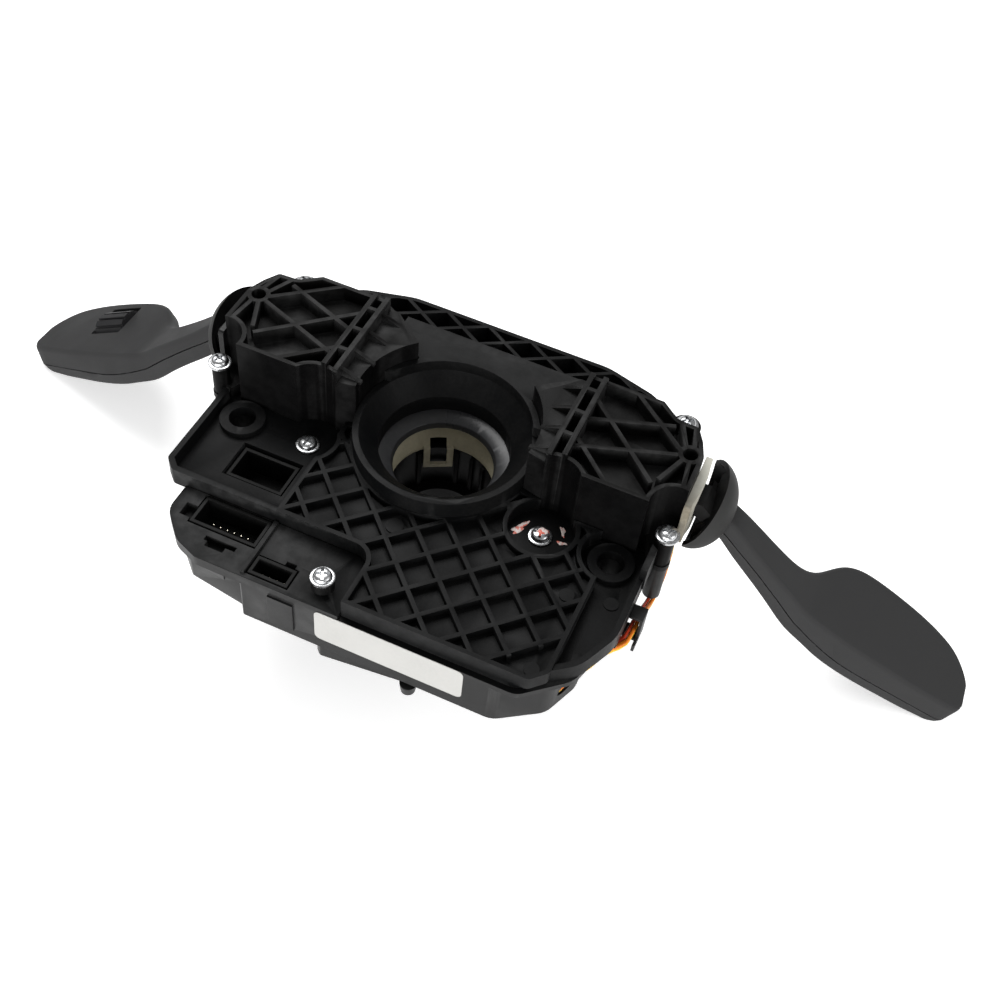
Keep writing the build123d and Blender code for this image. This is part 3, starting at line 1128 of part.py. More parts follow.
# Middle of the bundle of four leads: from the notch, round the post's end, through the clip, into the wall.
lead_route = [
    (HALF_WIDTH + 2.5, 0.3, HOUSING_BASE + 1.4),
    (HALF_WIDTH + 3.0, 0.2, -33.0),
    (HALF_WIDTH + 3.1, -0.5, -45.8),
    (HALF_WIDTH + 2.5, -9.5, -48.9),
    (HALF_WIDTH + 1.9, -18.5, -44.0),
    (HALF_WIDTH + 1.9, -26.5, -38.0),
    (HALF_WIDTH + 1.6, -34.5, -36.6),
    (HALF_WIDTH + 0.2, -44.0, -37.2),
    (HALF_WIDTH - 3.9, -52.6, -40.2),
    (HALF_WIDTH - 12.3, -58.4, -42.8),
]
LEAD_HOLE_RADIUS = 2.2
LEAD_BEND = 0.4             # part of the shorter run that each bend takes


def lead_hole():
    """Hole in the lower wall that the leads go into."""
    start, end = Vector(*lead_route[-2]), Vector(*lead_route[-1])
    along = (end - start).normalized()
    return extrude(Plane(origin=end - along * 6.0, z_dir=along) * Circle(LEAD_HOLE_RADIUS), 8.0)


def lead(column, row):
    """One wire of the bundle, a distance beside and a distance above the bundle's middle."""
    spine = [Vector(*spot) for spot in lead_route]
    steps = [end - start for start, end in zip(spine[:-1], spine[1:])]
    runs = [step.normalized() for step in steps]
    points = []
    radii = []
    for number, spot in enumerate(spine):
        before = runs[max(number - 1, 0)]
        after = runs[min(number, len(runs) - 1)]
        along = (before + after).normalized()
        above = along.cross(Vector(1, 0, 0)).normalized()
        beside = above.cross(along)
        points.append(spot + beside * column + above * (row / along.dot(after)))
        if 0 < number < len(spine) - 1:
            half = radians(before.get_angle(after)) / 2
            bend = LEAD_BEND * min(steps[number - 1].length, steps[number].length) * cos(half) / sin(half)
            inwards = 1 if (after - before).dot(above) > 0 else -1
            radii.append(bend - inwards * row)
    path = FilletPolyline(*points, radius=radii)
    section = Plane(origin=points[0], z_dir=points[1] - points[0]) * Circle(WIRE_RADIUS)
    return sweep(section, path=path)


# ================================================================ build every piece
parts["rear_carrier"] = rear_carrier()
for side_name, place in (("signal", lambda shape: shape), ("wiper", other_side)):
    stalk = stalk_solid() - tang_pocket()
    if side_name == "wiper":
        stalk -= wheel_pocket()
        stalk -= wheel_axle(0.1)
    else:
        stalk -= button_pocket()
    housing = switch_housing()
    if side_name == "signal":
        housing -= lead_notch()
    parts[side_name + "_switch_housing"] = place(housing)
    parts[side_name + "_switch_base"] = place(switch_base())
    parts[side_name + "_switch_board"] = place(switch_board())
    parts[side_name + "_gate_plate"] = place(gate_plate())
    parts[side_name + "_swivel"] = place(swivel())
    parts[side_name + "_cross_pin"] = place(cross_pin())
    parts[side_name + "_lever"] = place(lever())
    parts[side_name + "_detent_plunger"] = place(plunger())
    parts[side_name + "_detent_spring"] = place(plunger_spring())
    parts[side_name + "_detent_track"] = place(detent_track())
    parts[side_name + "_hood"] = place(hood())
    parts[side_name + "_stalk_rear_shell"] = place(stalk & behind_seam())
    parts[side_name + "_stalk_front_shell"] = place(stalk - behind_seam())
parts["thumb_wheel"] = other_side(thumb_wheel())
parts["thumb_wheel_axle"] = other_side(wheel_axle())
parts["tip_button"] = tip_button()

parts["electronics_housing"] = electronics_housing()
parts["front_cover"] = front_cover()
parts["main_board"] = main_board()
parts["socket_12way"] = shroud(SOCKET_12, CONNECTOR_FACE + 0.2, -37.2)
parts["socket_12way_pins"] = pins(spread(-55.4, 2.54, 6), (-60.4, -57.6), -37.2, PIN_LENGTH)
parts["socket_4way"] = shroud(SOCKET_4, CONNECTOR_FACE + 0.2, -37.2)
parts["socket_4way_pins"] = pins(spread(-31.4, 2.54, 4), (-67.9,), -37.2, PIN_LENGTH)
tray_box = (TRAY_SOCKET[0] + 0.9, TRAY_SOCKET[1] - 0.9, TRAY_SOCKET[2] + 0.9, TRAY_SOCKET[3] - 0.9)
parts["tray_socket"] = shroud(tray_box, TRAY_FLOOR - 1.0, -38.2)
parts["tray_socket_pins"] = pins(spread(-56.0, 2.54, 5), (-38.4,), -38.2, PIN_LENGTH)
parts["angle_sensor"] = angle_sensor()

parts["bore_ring"] = bore_ring()
parts["clockspring_case"] = clockspring_case()
parts["clockspring_rotor"] = rotor()
parts["drive_ring"] = drive_ring()
parts["code_disk"] = code_disk()
parts["flat_cable"] = flat_cable()

for name, spot, seat, length, turn in (
    ("post_screws", POST, POST_SEAT, POST_SCREW_LENGTH, 20.0),
    ("rear_screws", REAR_SCREW, EAR_SEAT, SCREW_LENGTH, 35.0),
    ("tray_screws", TRAY_SCREW, TRAY_FLOOR, SCREW_LENGTH, 10.0),
):
    parts[name] = group(pan_screw(side * spot[0], spot[1], seat, length, side * turn) for side in (-1, 1))
parts["block_screw"] = pan_screw(*BLOCK_SCREW, BLOCK_SCREW_SEAT, 10.0)
parts["cover_screws"] = group(
    Pos(x, y, COVER_SEAT) * Rot(180, 0, 0) * pan_screw(0, 0, 0.0, 11.0) for x, y in COVER_SCREWS)

parts["label_plate"] = label_plate()
parts["wire_clip"] = wire_clip()
for name, column, row in (
    ("lead_orange", 1, 1), ("lead_red", -1, 1), ("lead_yellow", 1, -1), ("lead_white", -1, -1),
):
    parts[name] = lead(column * WIRE_PITCH / 2, row * WIRE_PITCH / 2)

for name, shape in parts.items():
    solids = [Pos(0, 0, -CONE_END) * solid for solid in shape.solids()]
    placed = solids[0] if len(solids) == 1 else group(solids)
    placed.label = name
    export_step(placed, "parts/" + name + ".step")
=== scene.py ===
import json
from math import cos, pi, radians, sin

import bmesh
import bpy
from mathutils import Matrix, Vector
from mathutils.bvhtree import BVHTree

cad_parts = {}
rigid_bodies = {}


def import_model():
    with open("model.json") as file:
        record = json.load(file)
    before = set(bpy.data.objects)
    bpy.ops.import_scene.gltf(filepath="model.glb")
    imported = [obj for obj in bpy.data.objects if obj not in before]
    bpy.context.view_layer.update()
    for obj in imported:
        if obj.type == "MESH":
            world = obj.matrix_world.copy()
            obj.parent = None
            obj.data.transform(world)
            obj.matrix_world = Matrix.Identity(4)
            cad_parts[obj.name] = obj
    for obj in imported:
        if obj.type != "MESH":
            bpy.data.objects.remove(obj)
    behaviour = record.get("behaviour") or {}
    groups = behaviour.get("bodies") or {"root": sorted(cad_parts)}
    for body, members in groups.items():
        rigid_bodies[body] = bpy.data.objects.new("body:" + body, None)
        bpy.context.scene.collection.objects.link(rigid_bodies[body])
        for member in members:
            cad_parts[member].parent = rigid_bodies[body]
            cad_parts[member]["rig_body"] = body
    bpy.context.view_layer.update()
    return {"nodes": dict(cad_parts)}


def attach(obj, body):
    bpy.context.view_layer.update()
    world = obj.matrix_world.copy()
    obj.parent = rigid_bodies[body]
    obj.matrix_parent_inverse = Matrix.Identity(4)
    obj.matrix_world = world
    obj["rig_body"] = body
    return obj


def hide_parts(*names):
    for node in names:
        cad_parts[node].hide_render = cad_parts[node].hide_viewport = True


# Steering-column stalk switch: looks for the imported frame. Metres, in the frame's own axes:
# +Z up the column towards the bracket, +Y to the top of the column, +X to the turn-signal lever.

MM = 0.001
BRACKET_FACE = 22.0         # height of the bracket face in the frame, mm; levels below are given from it
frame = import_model()
nodes = frame["nodes"]


# ------------------------------------------------------------------ small helpers
def body_of_node(node):
    return nodes[node]["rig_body"]


def link(name, data):
    """New object in the scene that holds a mesh, a camera or a light."""
    thing = bpy.data.objects.new(name, data)
    bpy.context.scene.collection.objects.link(thing)
    return thing


def mesh_from(name, build):
    """New object whose mesh is filled in by build(bm)."""
    mesh = bpy.data.meshes.new(name)
    bm = bmesh.new()
    build(bm)
    bm.normal_update()
    bm.to_mesh(mesh)
    bm.free()
    return link(name, mesh)


def smooth_by_angle(piece, degrees_limit):
    """Smooth shading, with the edges over a limit kept sharp."""
    mesh = piece.data
    mesh.polygons.foreach_set("use_smooth", [True] * len(mesh.polygons))
    mesh.set_sharp_from_angle(angle=radians(degrees_limit))


def give(piece, material):
    """One finish all over a piece."""
    piece.data.materials.clear()
    piece.data.materials.append(material)


def stand_for(piece, node):
    """The piece moves with a node's body and is shown in that node's place."""
    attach(piece, body_of_node(node))
    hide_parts(node)


# ------------------------------------------------------------------ shader node groups
NOISE_BAND = (0.35, 0.65)           # part of a noise's range that is spread over a value's whole range
CLOUD_SCALE = 55.0                  # cloudy gloss; every scale here is per metre
SPECK_SCALE = 900.0                 # specks of dust
EDGE_WEAR_AND_HIGHLIGHT_SCALE = 240.0                # patches of the lighter edges, partly wear and partly a painted highlight
EDGE_WEAR_AND_HIGHLIGHT_POINTINESS = (0.52, 0.62)    # where an edge begins to get lighter, and where it is fully so
GRAIN_STRENGTH = 0.6


def new_group(name, inputs, outputs):
    group = bpy.data.node_groups.new(name, "ShaderNodeTree")
    for label, kind, value in inputs:
        socket = group.interface.new_socket(label, in_out="INPUT", socket_type=kind)
        socket.default_value = value
    for label, kind in outputs:
        group.interface.new_socket(label, in_out="OUTPUT", socket_type=kind)
    tree = group.nodes
    return group, tree.new("NodeGroupInput"), tree.new("NodeGroupOutput")


def maths(group, operation, a, b, clamp=False):
    node = group.nodes.new("ShaderNodeMath")
    node.operation = operation
    node.use_clamp = clamp
    for socket, value in zip(node.inputs, (a, b)):
        if isinstance(value, (int, float)):
            socket.default_value = value
        else:
            group.links.new(value, socket)
    return node.outputs[0]


def noise(group, scale, detail, roughness=0.55):
    node = group.nodes.new("ShaderNodeTexNoise")
    node.inputs["Detail"].default_value = detail
    node.inputs["Roughness"].default_value = roughness
    if isinstance(scale, (int, float)):
        node.inputs["Scale"].default_value = scale
    else:
        group.links.new(scale, node.inputs["Scale"])
    coords = group.nodes.new("ShaderNodeTexCoord")
    group.links.new(coords.outputs["Object"], node.inputs["Vector"])
    return node.outputs["Fac"]


def spread_between(group, value, low, high):
    """The middle band of a noise, spread from low to high."""
    node = group.nodes.new("ShaderNodeMapRange")
    node.inputs["From Min"].default_value, node.inputs["From Max"].default_value = NOISE_BAND
    for label, amount in (("To Min", low), ("To Max", high)):
        if isinstance(amount, (int, float)):
            node.inputs[label].default_value = amount
        else:
            group.links.new(amount, node.inputs[label])
    group.links.new(value, node.inputs["Value"])
    return node.outputs["Result"]


def blend_colours(group, factor, a, b):
    node = group.nodes.new("ShaderNodeMix")
    node.data_type = "RGBA"
    for label, value in (("Factor", factor), ("A", a), ("B", b)):
        socket = next(s for s in node.inputs if s.name == label and s.enabled)
        if isinstance(value, tuple):
            socket.default_value = (*value, 1.0)
        else:
            group.links.new(value, socket)
    return next(s for s in node.outputs if s.enabled)


def bumped(group, height, strength, distance):
    """Normal of a surface that a height raises; the distance is in metres or comes from a socket."""
    bump = group.nodes.new("ShaderNodeBump")
    bump.inputs["Strength"].default_value = strength
    if isinstance(distance, (int, float)):
        bump.inputs["Distance"].default_value = distance
    else:
        group.links.new(distance, bump.inputs["Distance"])
    group.links.new(height, bump.inputs["Height"])
    return bump.outputs["Normal"]


def moulded_surface():
    """Spark-eroded grain, cloudy gloss, dust, and lighter edges that are partly wear and partly a painted
    highlight: what every moulding of this unit has.
    """
    group, given, put = new_group(
        "Moulded surface",
        [
            ("Colour", "NodeSocketColor", (0.02, 0.02, 0.02, 1.0)),
            ("Dust colour", "NodeSocketColor", (0.075, 0.07, 0.066, 1.0)),
            ("Edge wear and painted highlight colour", "NodeSocketColor", (0.06, 0.06, 0.06, 1.0)),
            ("Grain scale", "NodeSocketFloat", 5000.0),
            ("Grain depth", "NodeSocketFloat", 0.02 * MM),
            ("Low roughness", "NodeSocketFloat", 0.38),
            ("High roughness", "NodeSocketFloat", 0.52),
            ("Dust", "NodeSocketFloat", 0.1),
            ("Edge wear and painted highlight", "NodeSocketFloat", 0.3),
        ],
        [("Colour", "NodeSocketColor"), ("Roughness", "NodeSocketFloat"), ("Normal", "NodeSocketVector")],
    )
    cloud = noise(group, CLOUD_SCALE, 4.0)
    fine = noise(group, given.outputs["Grain scale"], 2.0, 0.7)
    specks = noise(group, SPECK_SCALE, 2.0, 0.5)
    dust_mask = maths(group, "MULTIPLY", spread_between(group, cloud, 0.1, 1.0), given.outputs["Dust"], True)
    dust_mask = maths(group, "MULTIPLY", dust_mask, spread_between(group, specks, 0.4, 1.0), True)
    colour = blend_colours(group, dust_mask, given.outputs["Colour"], given.outputs["Dust colour"])
    # Convex edges, found by their pointiness, are lightened: partly wear, partly a painted highlight where
    # edges catch the light.
    edge = group.nodes.new("ShaderNodeMapRange")
    edge.inputs["From Min"].default_value, edge.inputs["From Max"].default_value = EDGE_WEAR_AND_HIGHLIGHT_POINTINESS
    shape = group.nodes.new("ShaderNodeNewGeometry")
    group.links.new(shape.outputs["Pointiness"], edge.inputs["Value"])
    patchy = spread_between(group, noise(group, EDGE_WEAR_AND_HIGHLIGHT_SCALE, 3.0), 0.35, 1.0)
    wear_and_highlight = maths(group, "MULTIPLY", edge.outputs["Result"], given.outputs["Edge wear and painted highlight"], True)
    wear_and_highlight = maths(group, "MULTIPLY", wear_and_highlight, patchy, True)
    colour = blend_colours(group, wear_and_highlight, colour, given.outputs["Edge wear and painted highlight colour"])
    group.links.new(colour, put.inputs["Colour"])
    rough = spread_between(group, cloud, given.outputs["Low roughness"], given.outputs["High roughness"])
    group.links.new(rough, put.inputs["Roughness"])
    normal = bumped(group, fine, GRAIN_STRENGTH, given.outputs["Grain depth"])
    group.links.new(normal, put.inputs["Normal"])
    return group


MOULDED = moulded_surface()


# ------------------------------------------------------------------ materials
WEAR_AND_HIGHLIGHT_KEEPS = 0.6          # share of its colour that a lighter edge keeps; the lighter edge is partly wear, partly a painted highlight
WEAR_AND_HIGHLIGHT_GREY = 0.03          # grey that the wear and the painted highlight add
DULL_SPECULAR = 0.065       # eroded mouldings reflect little
# Noise scale of the gate plate's darkening, which is partly painted shade and partly grease.
SHADE_AND_GREASE_SCALE = 260.0
PLATING_SCALE = 700.0
PLATING_SHADE = 0.6         # the cloudy patches' share of the plating's colour
SCRATCH_DEPTH = 0.03 * MM
LACQUER_SCALE = 620.0
WRINKLE_SCALE = 1500.0
WRINKLE_DEPTH = 0.1 * MM
LACQUER_SPLIT = (0.5, 0.56)     # of that noise: white under it, red over it
LACQUER_WHITE = (0.78, 0.66, 0.62)
LACQUER_RED = (0.72, 0.16, 0.11)


def plain_material(name):
    material = bpy.data.materials.new(name)
    material.use_nodes = True
    tree = material.node_tree
    return material, tree, tree.nodes["Principled BSDF"]


def moulded(name, colour, low, high, grain=5000.0, depth=0.02 * MM, dust=0.1, wear_and_highlight=0.3,
            specular=DULL_SPECULAR):
    """Injection-moulded plastic of one colour; low and high are the ends of its roughness."""
    material, tree, shader = plain_material(name)
    group = tree.nodes.new("ShaderNodeGroup")
    group.node_tree = MOULDED
    group.inputs["Colour"].default_value = (*colour, 1.0)
    wear_and_highlight_colour = (WEAR_AND_HIGHLIGHT_KEEPS * shade + WEAR_AND_HIGHLIGHT_GREY for shade in colour)
    group.inputs["Edge wear and painted highlight colour"].default_value = (*wear_and_highlight_colour, 1.0)
    group.inputs["Grain scale"].default_value = grain
    group.inputs["Grain depth"].default_value = depth
    group.inputs["Low roughness"].default_value = low
    group.inputs["High roughness"].default_value = high
    group.inputs["Dust"].default_value = dust
    group.inputs["Edge wear and painted highlight"].default_value = wear_and_highlight
    tree.links.new(group.outputs["Colour"], shader.inputs["Base Color"])
    tree.links.new(group.outputs["Roughness"], shader.inputs["Roughness"])
    tree.links.new(group.outputs["Normal"], shader.inputs["Normal"])
    shader.inputs["Specular IOR Level"].default_value = specular
    return material


def darken_towards(material, colour, axis, lightest_at, darkest_at):
    """Darkening that grows along an axis, from where the moulding is lightest to where it is darkest: partly
    painted shade, partly grease.
    """
    tree = material.node_tree
    coords = tree.nodes.new("ShaderNodeTexCoord")
    split = tree.nodes.new("ShaderNodeSeparateXYZ")
    tree.links.new(coords.outputs["Object"], split.inputs["Vector"])
    ramp = tree.nodes.new("ShaderNodeMapRange")
    ramp.inputs["From Min"].default_value = lightest_at
    ramp.inputs["From Max"].default_value = darkest_at
    tree.links.new(split.outputs[axis], ramp.inputs["Value"])
    cloudy = spread_between(tree, noise(tree, SHADE_AND_GREASE_SCALE, 3.0), 0.7, 1.0)
    socket = tree.nodes["Principled BSDF"].inputs["Base Color"]
    mask = maths(tree, "MULTIPLY", ramp.outputs["Result"], cloudy, True)
    tree.links.new(blend_colours(tree, mask, socket.links[0].from_socket, colour), socket)


def plated_metal(name, colour, low, high):
    """Zinc-plated or tinned metal with a cloudy, slightly scratched surface."""
    material, tree, shader = plain_material(name)
    shader.inputs["Metallic"].default_value = 1.0
    cloud = noise(tree, PLATING_SCALE, 5.0)
    tint = blend_colours(tree, cloud, colour, tuple(shade * PLATING_SHADE for shade in colour))
    tree.links.new(tint, shader.inputs["Base Color"])
    tree.links.new(spread_between(tree, cloud, low, high), shader.inputs["Roughness"])
    scratches = noise(tree, PLATING_SCALE * 4.0, 2.0)
    tree.links.new(bumped(tree, scratches, 0.35, SCRATCH_DEPTH), shader.inputs["Normal"])
    return material


def seal_paint_finish():
    """Thin white lacquer over red, brushed on once the screw is tight."""
    material, tree, shader = plain_material("Seal lacquer")
    patches = noise(tree, LACQUER_SCALE, 3.0, 0.6)
    split = tree.nodes.new("ShaderNodeMapRange")
    split.inputs["From Min"].default_value, split.inputs["From Max"].default_value = LACQUER_SPLIT
    tree.links.new(patches, split.inputs["Value"])
    colour = blend_colours(tree, split.outputs["Result"], LACQUER_WHITE, LACQUER_RED)
    tree.links.new(colour, shader.inputs["Base Color"])
    tree.links.new(spread_between(tree, patches, 0.25, 0.4), shader.inputs["Roughness"])
    wrinkles = noise(tree, WRINKLE_SCALE, 2.0)
    tree.links.new(bumped(tree, wrinkles, 0.7, WRINKLE_DEPTH), shader.inputs["Normal"])
    return material


FINE_GRAIN = {"grain": 9000.0, "depth": 0.012 * MM}
FLAT_GRAIN = 0.01 * MM      # depth on the polished acetal
# The edge share of each finish below lightens its convex edges, partly wear and partly a painted highlight;
# it is highest on the carrier and the switch housings, whose rib tops it lights.
carrier_black = moulded("Carrier black", (0.0022, 0.0024, 0.0026), 0.36, 0.5, dust=0.05, wear_and_highlight=0.8)
housing_black = moulded("Housing black", (0.0050, 0.0050, 0.0051), 0.32, 0.46, dust=0.05, wear_and_highlight=0.6,
                        specular=0.16)
module_black = moulded("Switch housing black", (0.0024, 0.0024, 0.0024), 0.36, 0.5, dust=0.05, wear_and_highlight=0.8)
socket_black = moulded("Socket black", (0.0018, 0.0018, 0.0018), 0.36, 0.48, dust=0.02, wear_and_highlight=0.12)
# Painted shade: the dark, low-gloss moulding given to the switch housings' walls under their roofs.
shaded_wall_black = moulded("Module wall painted shade", (0.0014, 0.0014, 0.0015), 0.3, 0.42, dust=0.03, wear_and_highlight=0.25,
                     specular=0.03)
case_black = moulded("Winding case black", (0.0035, 0.0035, 0.0037), 0.3, 0.42, dust=0.05)
soft_touch = moulded("Lever soft touch", (0.033, 0.033, 0.0335), 0.55, 0.66, dust=0.03, wear_and_highlight=0.1,
                     **FINE_GRAIN)
hood_black = moulded("Hood soft touch", (0.030, 0.030, 0.0295), 0.5, 0.62, dust=0.03, wear_and_highlight=0.15,
                     **FINE_GRAIN)
wheel_black = moulded("Thumb wheel black", (0.018, 0.018, 0.019), 0.45, 0.58, dust=0.03, wear_and_highlight=0.2)
acetal_cream = moulded("Acetal cream", (0.50, 0.46, 0.34), 0.34, 0.46, dust=0.25, depth=FLAT_GRAIN,
                       wear_and_highlight=0.1)
gate_white = moulded("Gate plate acetal", (0.60, 0.59, 0.52), 0.34, 0.46, dust=0.2, depth=FLAT_GRAIN,
                     wear_and_highlight=0.1)
# Darker towards the gate plate's lower end: painted shade where the hood shades it, and grease.
SHADE_AND_GREASE_BROWN = (0.17, 0.145, 0.105)
SHADE_AND_GREASE_SPAN = (11.0 * MM, -3.0 * MM)     # Y where the gate plate is lightest, and where it is darkest
darken_towards(gate_white, SHADE_AND_GREASE_BROWN, "Y", *SHADE_AND_GREASE_SPAN)
ring_grey = moulded("Bore ring grey", (0.020, 0.0205, 0.022), 0.26, 0.38, dust=0.08, specular=0.3)
mechanism_black = moulded("Mechanism black", (0.007, 0.007, 0.007), 0.38, 0.52)
board_green = moulded("Board green", (0.01, 0.06, 0.02), 0.25, 0.35, grain=1500.0)
film_amber = moulded("Ribbon film", (0.42, 0.22, 0.07), 0.2, 0.3)
paper_white = moulded("Label paper", (0.44, 0.436, 0.42), 0.42, 0.56, grain=2600.0, dust=0.08, wear_and_highlight=0.0)
seal_lacquer = seal_paint_finish()
zinc = plated_metal("Zinc plate", (0.62, 0.63, 0.64), 0.2, 0.38)
tin = plated_metal("Tinned brass", (0.62, 0.58, 0.48), 0.2, 0.34)
spring_steel = plated_metal("Spring steel", (0.5, 0.5, 0.5), 0.25, 0.4)
LEAD_SHADES = {
    "orange": (0.80, 0.20, 0.02),
    "red": (0.52, 0.05, 0.02),
    "yellow": (0.85, 0.55, 0.06),
    "white": (0.70, 0.68, 0.62),
}
lead_finishes = {shade: moulded("Lead " + shade, colour, 0.26, 0.36, dust=0.04, wear_and_highlight=0.0)
                 for shade, colour in LEAD_SHADES.items()}


# ------------------------------------------------------------------ mouldings taken over from the frame
WELD_REACH = 2e-6           # metres
CUT_REACH = 1e-6            # metres
SAME_PLANE = 1.0            # degrees
SMOOTH_ANGLE = 40.0         # degrees; edges under it are shaded smooth


def welded_copy(node):
    """Copy of a node's mesh with its doubles merged and its flat triangles joined."""
    mesh = nodes[node].data.copy()
    piece = link(node + "_moulding", mesh)
    bm = bmesh.new()
    bm.from_mesh(mesh)
    bmesh.ops.remove_doubles(bm, verts=bm.verts, dist=WELD_REACH)
    bmesh.ops.dissolve_limit(bm, angle_limit=radians(SAME_PLANE), verts=bm.verts, edges=bm.edges)
    bm.to_mesh(mesh)
    bm.free()
    return piece


def shift_points(piece, move):
    """Moves each point of a copy by move(x, y, z), all in mm from the column axis and the bracket face."""
    for point in piece.data.vertices:
        x, y, z = point.co / MM
        point.co += Vector(move(x, y, z - BRACKET_FACE)) * MM


SEAM_TOUCH = 0.02 * MM      # faces this near to the partner lie on it
FACING = -0.9               # most that the normals of two faces that meet may agree
SEAM_FACE = 20.0 * MM * MM  # a larger face whose points all lie on the partner is a seam face too
SEAM_HALF_GAP = 0.22 * MM


def open_seam(piece, partner):
    """Draws the faces that lie on the partner's back from it, so that the two shells part at a fine line."""
    bm = bmesh.new()
    bm.from_mesh(piece.data)
    other = bmesh.new()
    other.from_mesh(partner.data)
    tree = BVHTree.FromBMesh(other)
    pull = {}
    for face in bm.faces:
        _, normal, _, distance = tree.find_nearest(face.calc_center_median())
        meets = distance < SEAM_TOUCH and normal.dot(face.normal) < FACING
        if not meets and face.calc_area() > SEAM_FACE:
            meets = all(tree.find_nearest(point.co)[3] < SEAM_TOUCH for point in face.verts)
        if meets:
            for point in face.verts:
                pull.setdefault(point, Vector())
                pull[point] += face.normal * face.calc_area()
    for point, normal in pull.items():
        point.co -= normal.normalized() * SEAM_HALF_GAP
    bm.to_mesh(piece.data)
    bm.free()
    other.free()


UPRIGHT_SHARE = 0.97        # an upright edge rises by at least this share of its length
CORNER_TURN = 25.0          # degrees that the walls turn by at a corner, at least


def round_uprights(piece, corner, highest_y):
    """Rounds the upright corners under a Y; corner is the radius and the shortest length, all in mm."""
    radius, least = (size * MM for size in corner)
    bm = bmesh.new()
    bm.from_mesh(piece.data)
    chosen = []
    for edge in bm.edges:
        start, end = (point.co for point in edge.verts)
        rise = abs(start.z - end.z)
        slanted = rise < UPRIGHT_SHARE * edge.calc_length()
        if slanted or rise < least or max(start.y, end.y) > highest_y * MM:
            continue
        if edge.is_manifold and edge.is_convex and edge.calc_face_angle() > radians(CORNER_TURN):
            chosen.append(edge)
    bmesh.ops.bevel(bm, geom=chosen, offset=radius, segments=4, profile=0.5, affect="EDGES",
                    clamp_overlap=True)
    bm.to_mesh(piece.data)
    bm.free()


def cut_window(piece, angle, radial, half_width, levels):
    """Takes a radial window through a ring at an angle round the column axis."""
    def build(bm):
        bmesh.ops.create_cube(bm, size=1.0)
        middle = Vector((sum(radial) / 2, 0.0, sum(levels) / 2 + BRACKET_FACE)) * MM
        sizes = Vector((radial[1] - radial[0], 2 * half_width, levels[1] - levels[0])) * MM
        place = Matrix.Translation(middle) @ Matrix.Diagonal(sizes).to_4x4()
        bm.transform(Matrix.Rotation(radians(angle), 4, "Z") @ place)

    cutter = mesh_from("window_cutter", build)
    cut = piece.modifiers.new("Window", "BOOLEAN")
    cut.operation = "DIFFERENCE"
    cut.solver = "EXACT"
    cut.object = cutter
    ready = piece.evaluated_get(bpy.context.evaluated_depsgraph_get())
    result = bpy.data.meshes.new_from_object(ready)
    piece.modifiers.remove(cut)
    piece.data = result
    bpy.data.objects.remove(cutter)


SHARP_ANGLE = 30.0          # degrees; edges over it get the moulding radius


def soften(piece, width):
    """Small moulding radius on every sharp edge."""
    bevel = piece.modifiers.new("Edge radius", "BEVEL")
    bevel.width = width
    bevel.segments = 2
    bevel.limit_method = "ANGLE"
    bevel.angle_limit = radians(SHARP_ANGLE)
    bevel.use_clamp_overlap = True
    bevel.harden_normals = False
    smooth_by_angle(piece, SMOOTH_ANGLE)


def moulding(node, material, radius, shape=None):
    """A node shown with rounded edges in place of its bare solid; shape(piece) works on it first."""
    piece = welded_copy(node)
    give(piece, material)
    if shape:
        shape(piece)
    soften(piece, radius)
    stand_for(piece, node)


def turned(node, material, shape):
    """A node with round runs, its facets smoothed over; shape(piece) works on it first."""
    piece = welded_copy(node)
    shape(piece)
    smooth_by_angle(piece, SMOOTH_ANGLE)
    give(piece, material)
    stand_for(piece, node)


MOULDINGS = {       # finish, and edge radius in mm
    "rear_carrier": (carrier_black, 0.16),
    "electronics_housing": (housing_black, 0.25),
    "front_cover": (housing_black, 0.25),
    "clockspring_case": (case_black, 0.3),
    "clockspring_rotor": (case_black, 0.25),
    "wiper_switch_housing": (module_black, 0.18),
    "signal_switch_housing": (module_black, 0.18),
    "wiper_gate_plate": (housing_black, 0.2),
    "signal_gate_plate": (gate_white, 0.25),
    "socket_12way": (socket_black, 0.12),
    "socket_4way": (socket_black, 0.12),
    "tray_socket": (socket_black, 0.12),
    "bore_ring": (ring_grey, 0.15),
    "drive_ring": (acetal_cream, 0.2),
    "wiper_hood": (hood_black, 0.3),
    "signal_hood": (hood_black, 0.3),
    "wiper_stalk_rear_shell": (soft_touch, 0.25),
    "wiper_stalk_front_shell": (soft_touch, 0.25),
    "signal_stalk_rear_shell": (soft_touch, 0.25),
    "signal_stalk_front_shell": (soft_touch, 0.25),
    "thumb_wheel": (wheel_black, 0.25),
    "tip_button": (soft_touch, 0.5),
    "wire_clip": (housing_black, 0.15),
}

# Places and sizes of the worked mouldings, in mm; a level counts from the bracket face.
HOOD_CENTRE = (86.0, 16.75, -21.8)
HOOD_HALF = (12.0, 16.6, 15.2)
INSIDE_SHARE = 0.93         # of the hood's half sizes: its inner wall, webs and hub lie within this
GATE_INNER_FACE = 83.0
GATE_WEB = 2.0
GATE_PROFILE = ((1.5, 0.3), (6.0, 1.0), (16.0, 1.0), (20.5, 0.4), (23.0, 0.3))    # Y and added thickness
SLOT_CENTRE = (12.0, -15.5)     # Y and level
SLOT_HALF = (7.0, 5.2)
SLOT_EDGE = 0.2             # points this far outside the slot still belong to its rim
SLOT_FLARE = 0.1            # share by which the slot's outer rim opens
SOCKET_WALL_END = -64.0     # Y under which the housing's corners are rounded
SOCKET_WALL_CORNER = (1.2, 5.0)     # radius, and the shortest corner that gets it
COVER_CORNER_END = -40.0    # the same for the front cover
COVER_CORNER = (1.0, 2.0)
LOOKS_UP = 0.7              # least rise of the normal of a face that looks up
UPRIGHT = 0.5               # most rise of the normal of a wall
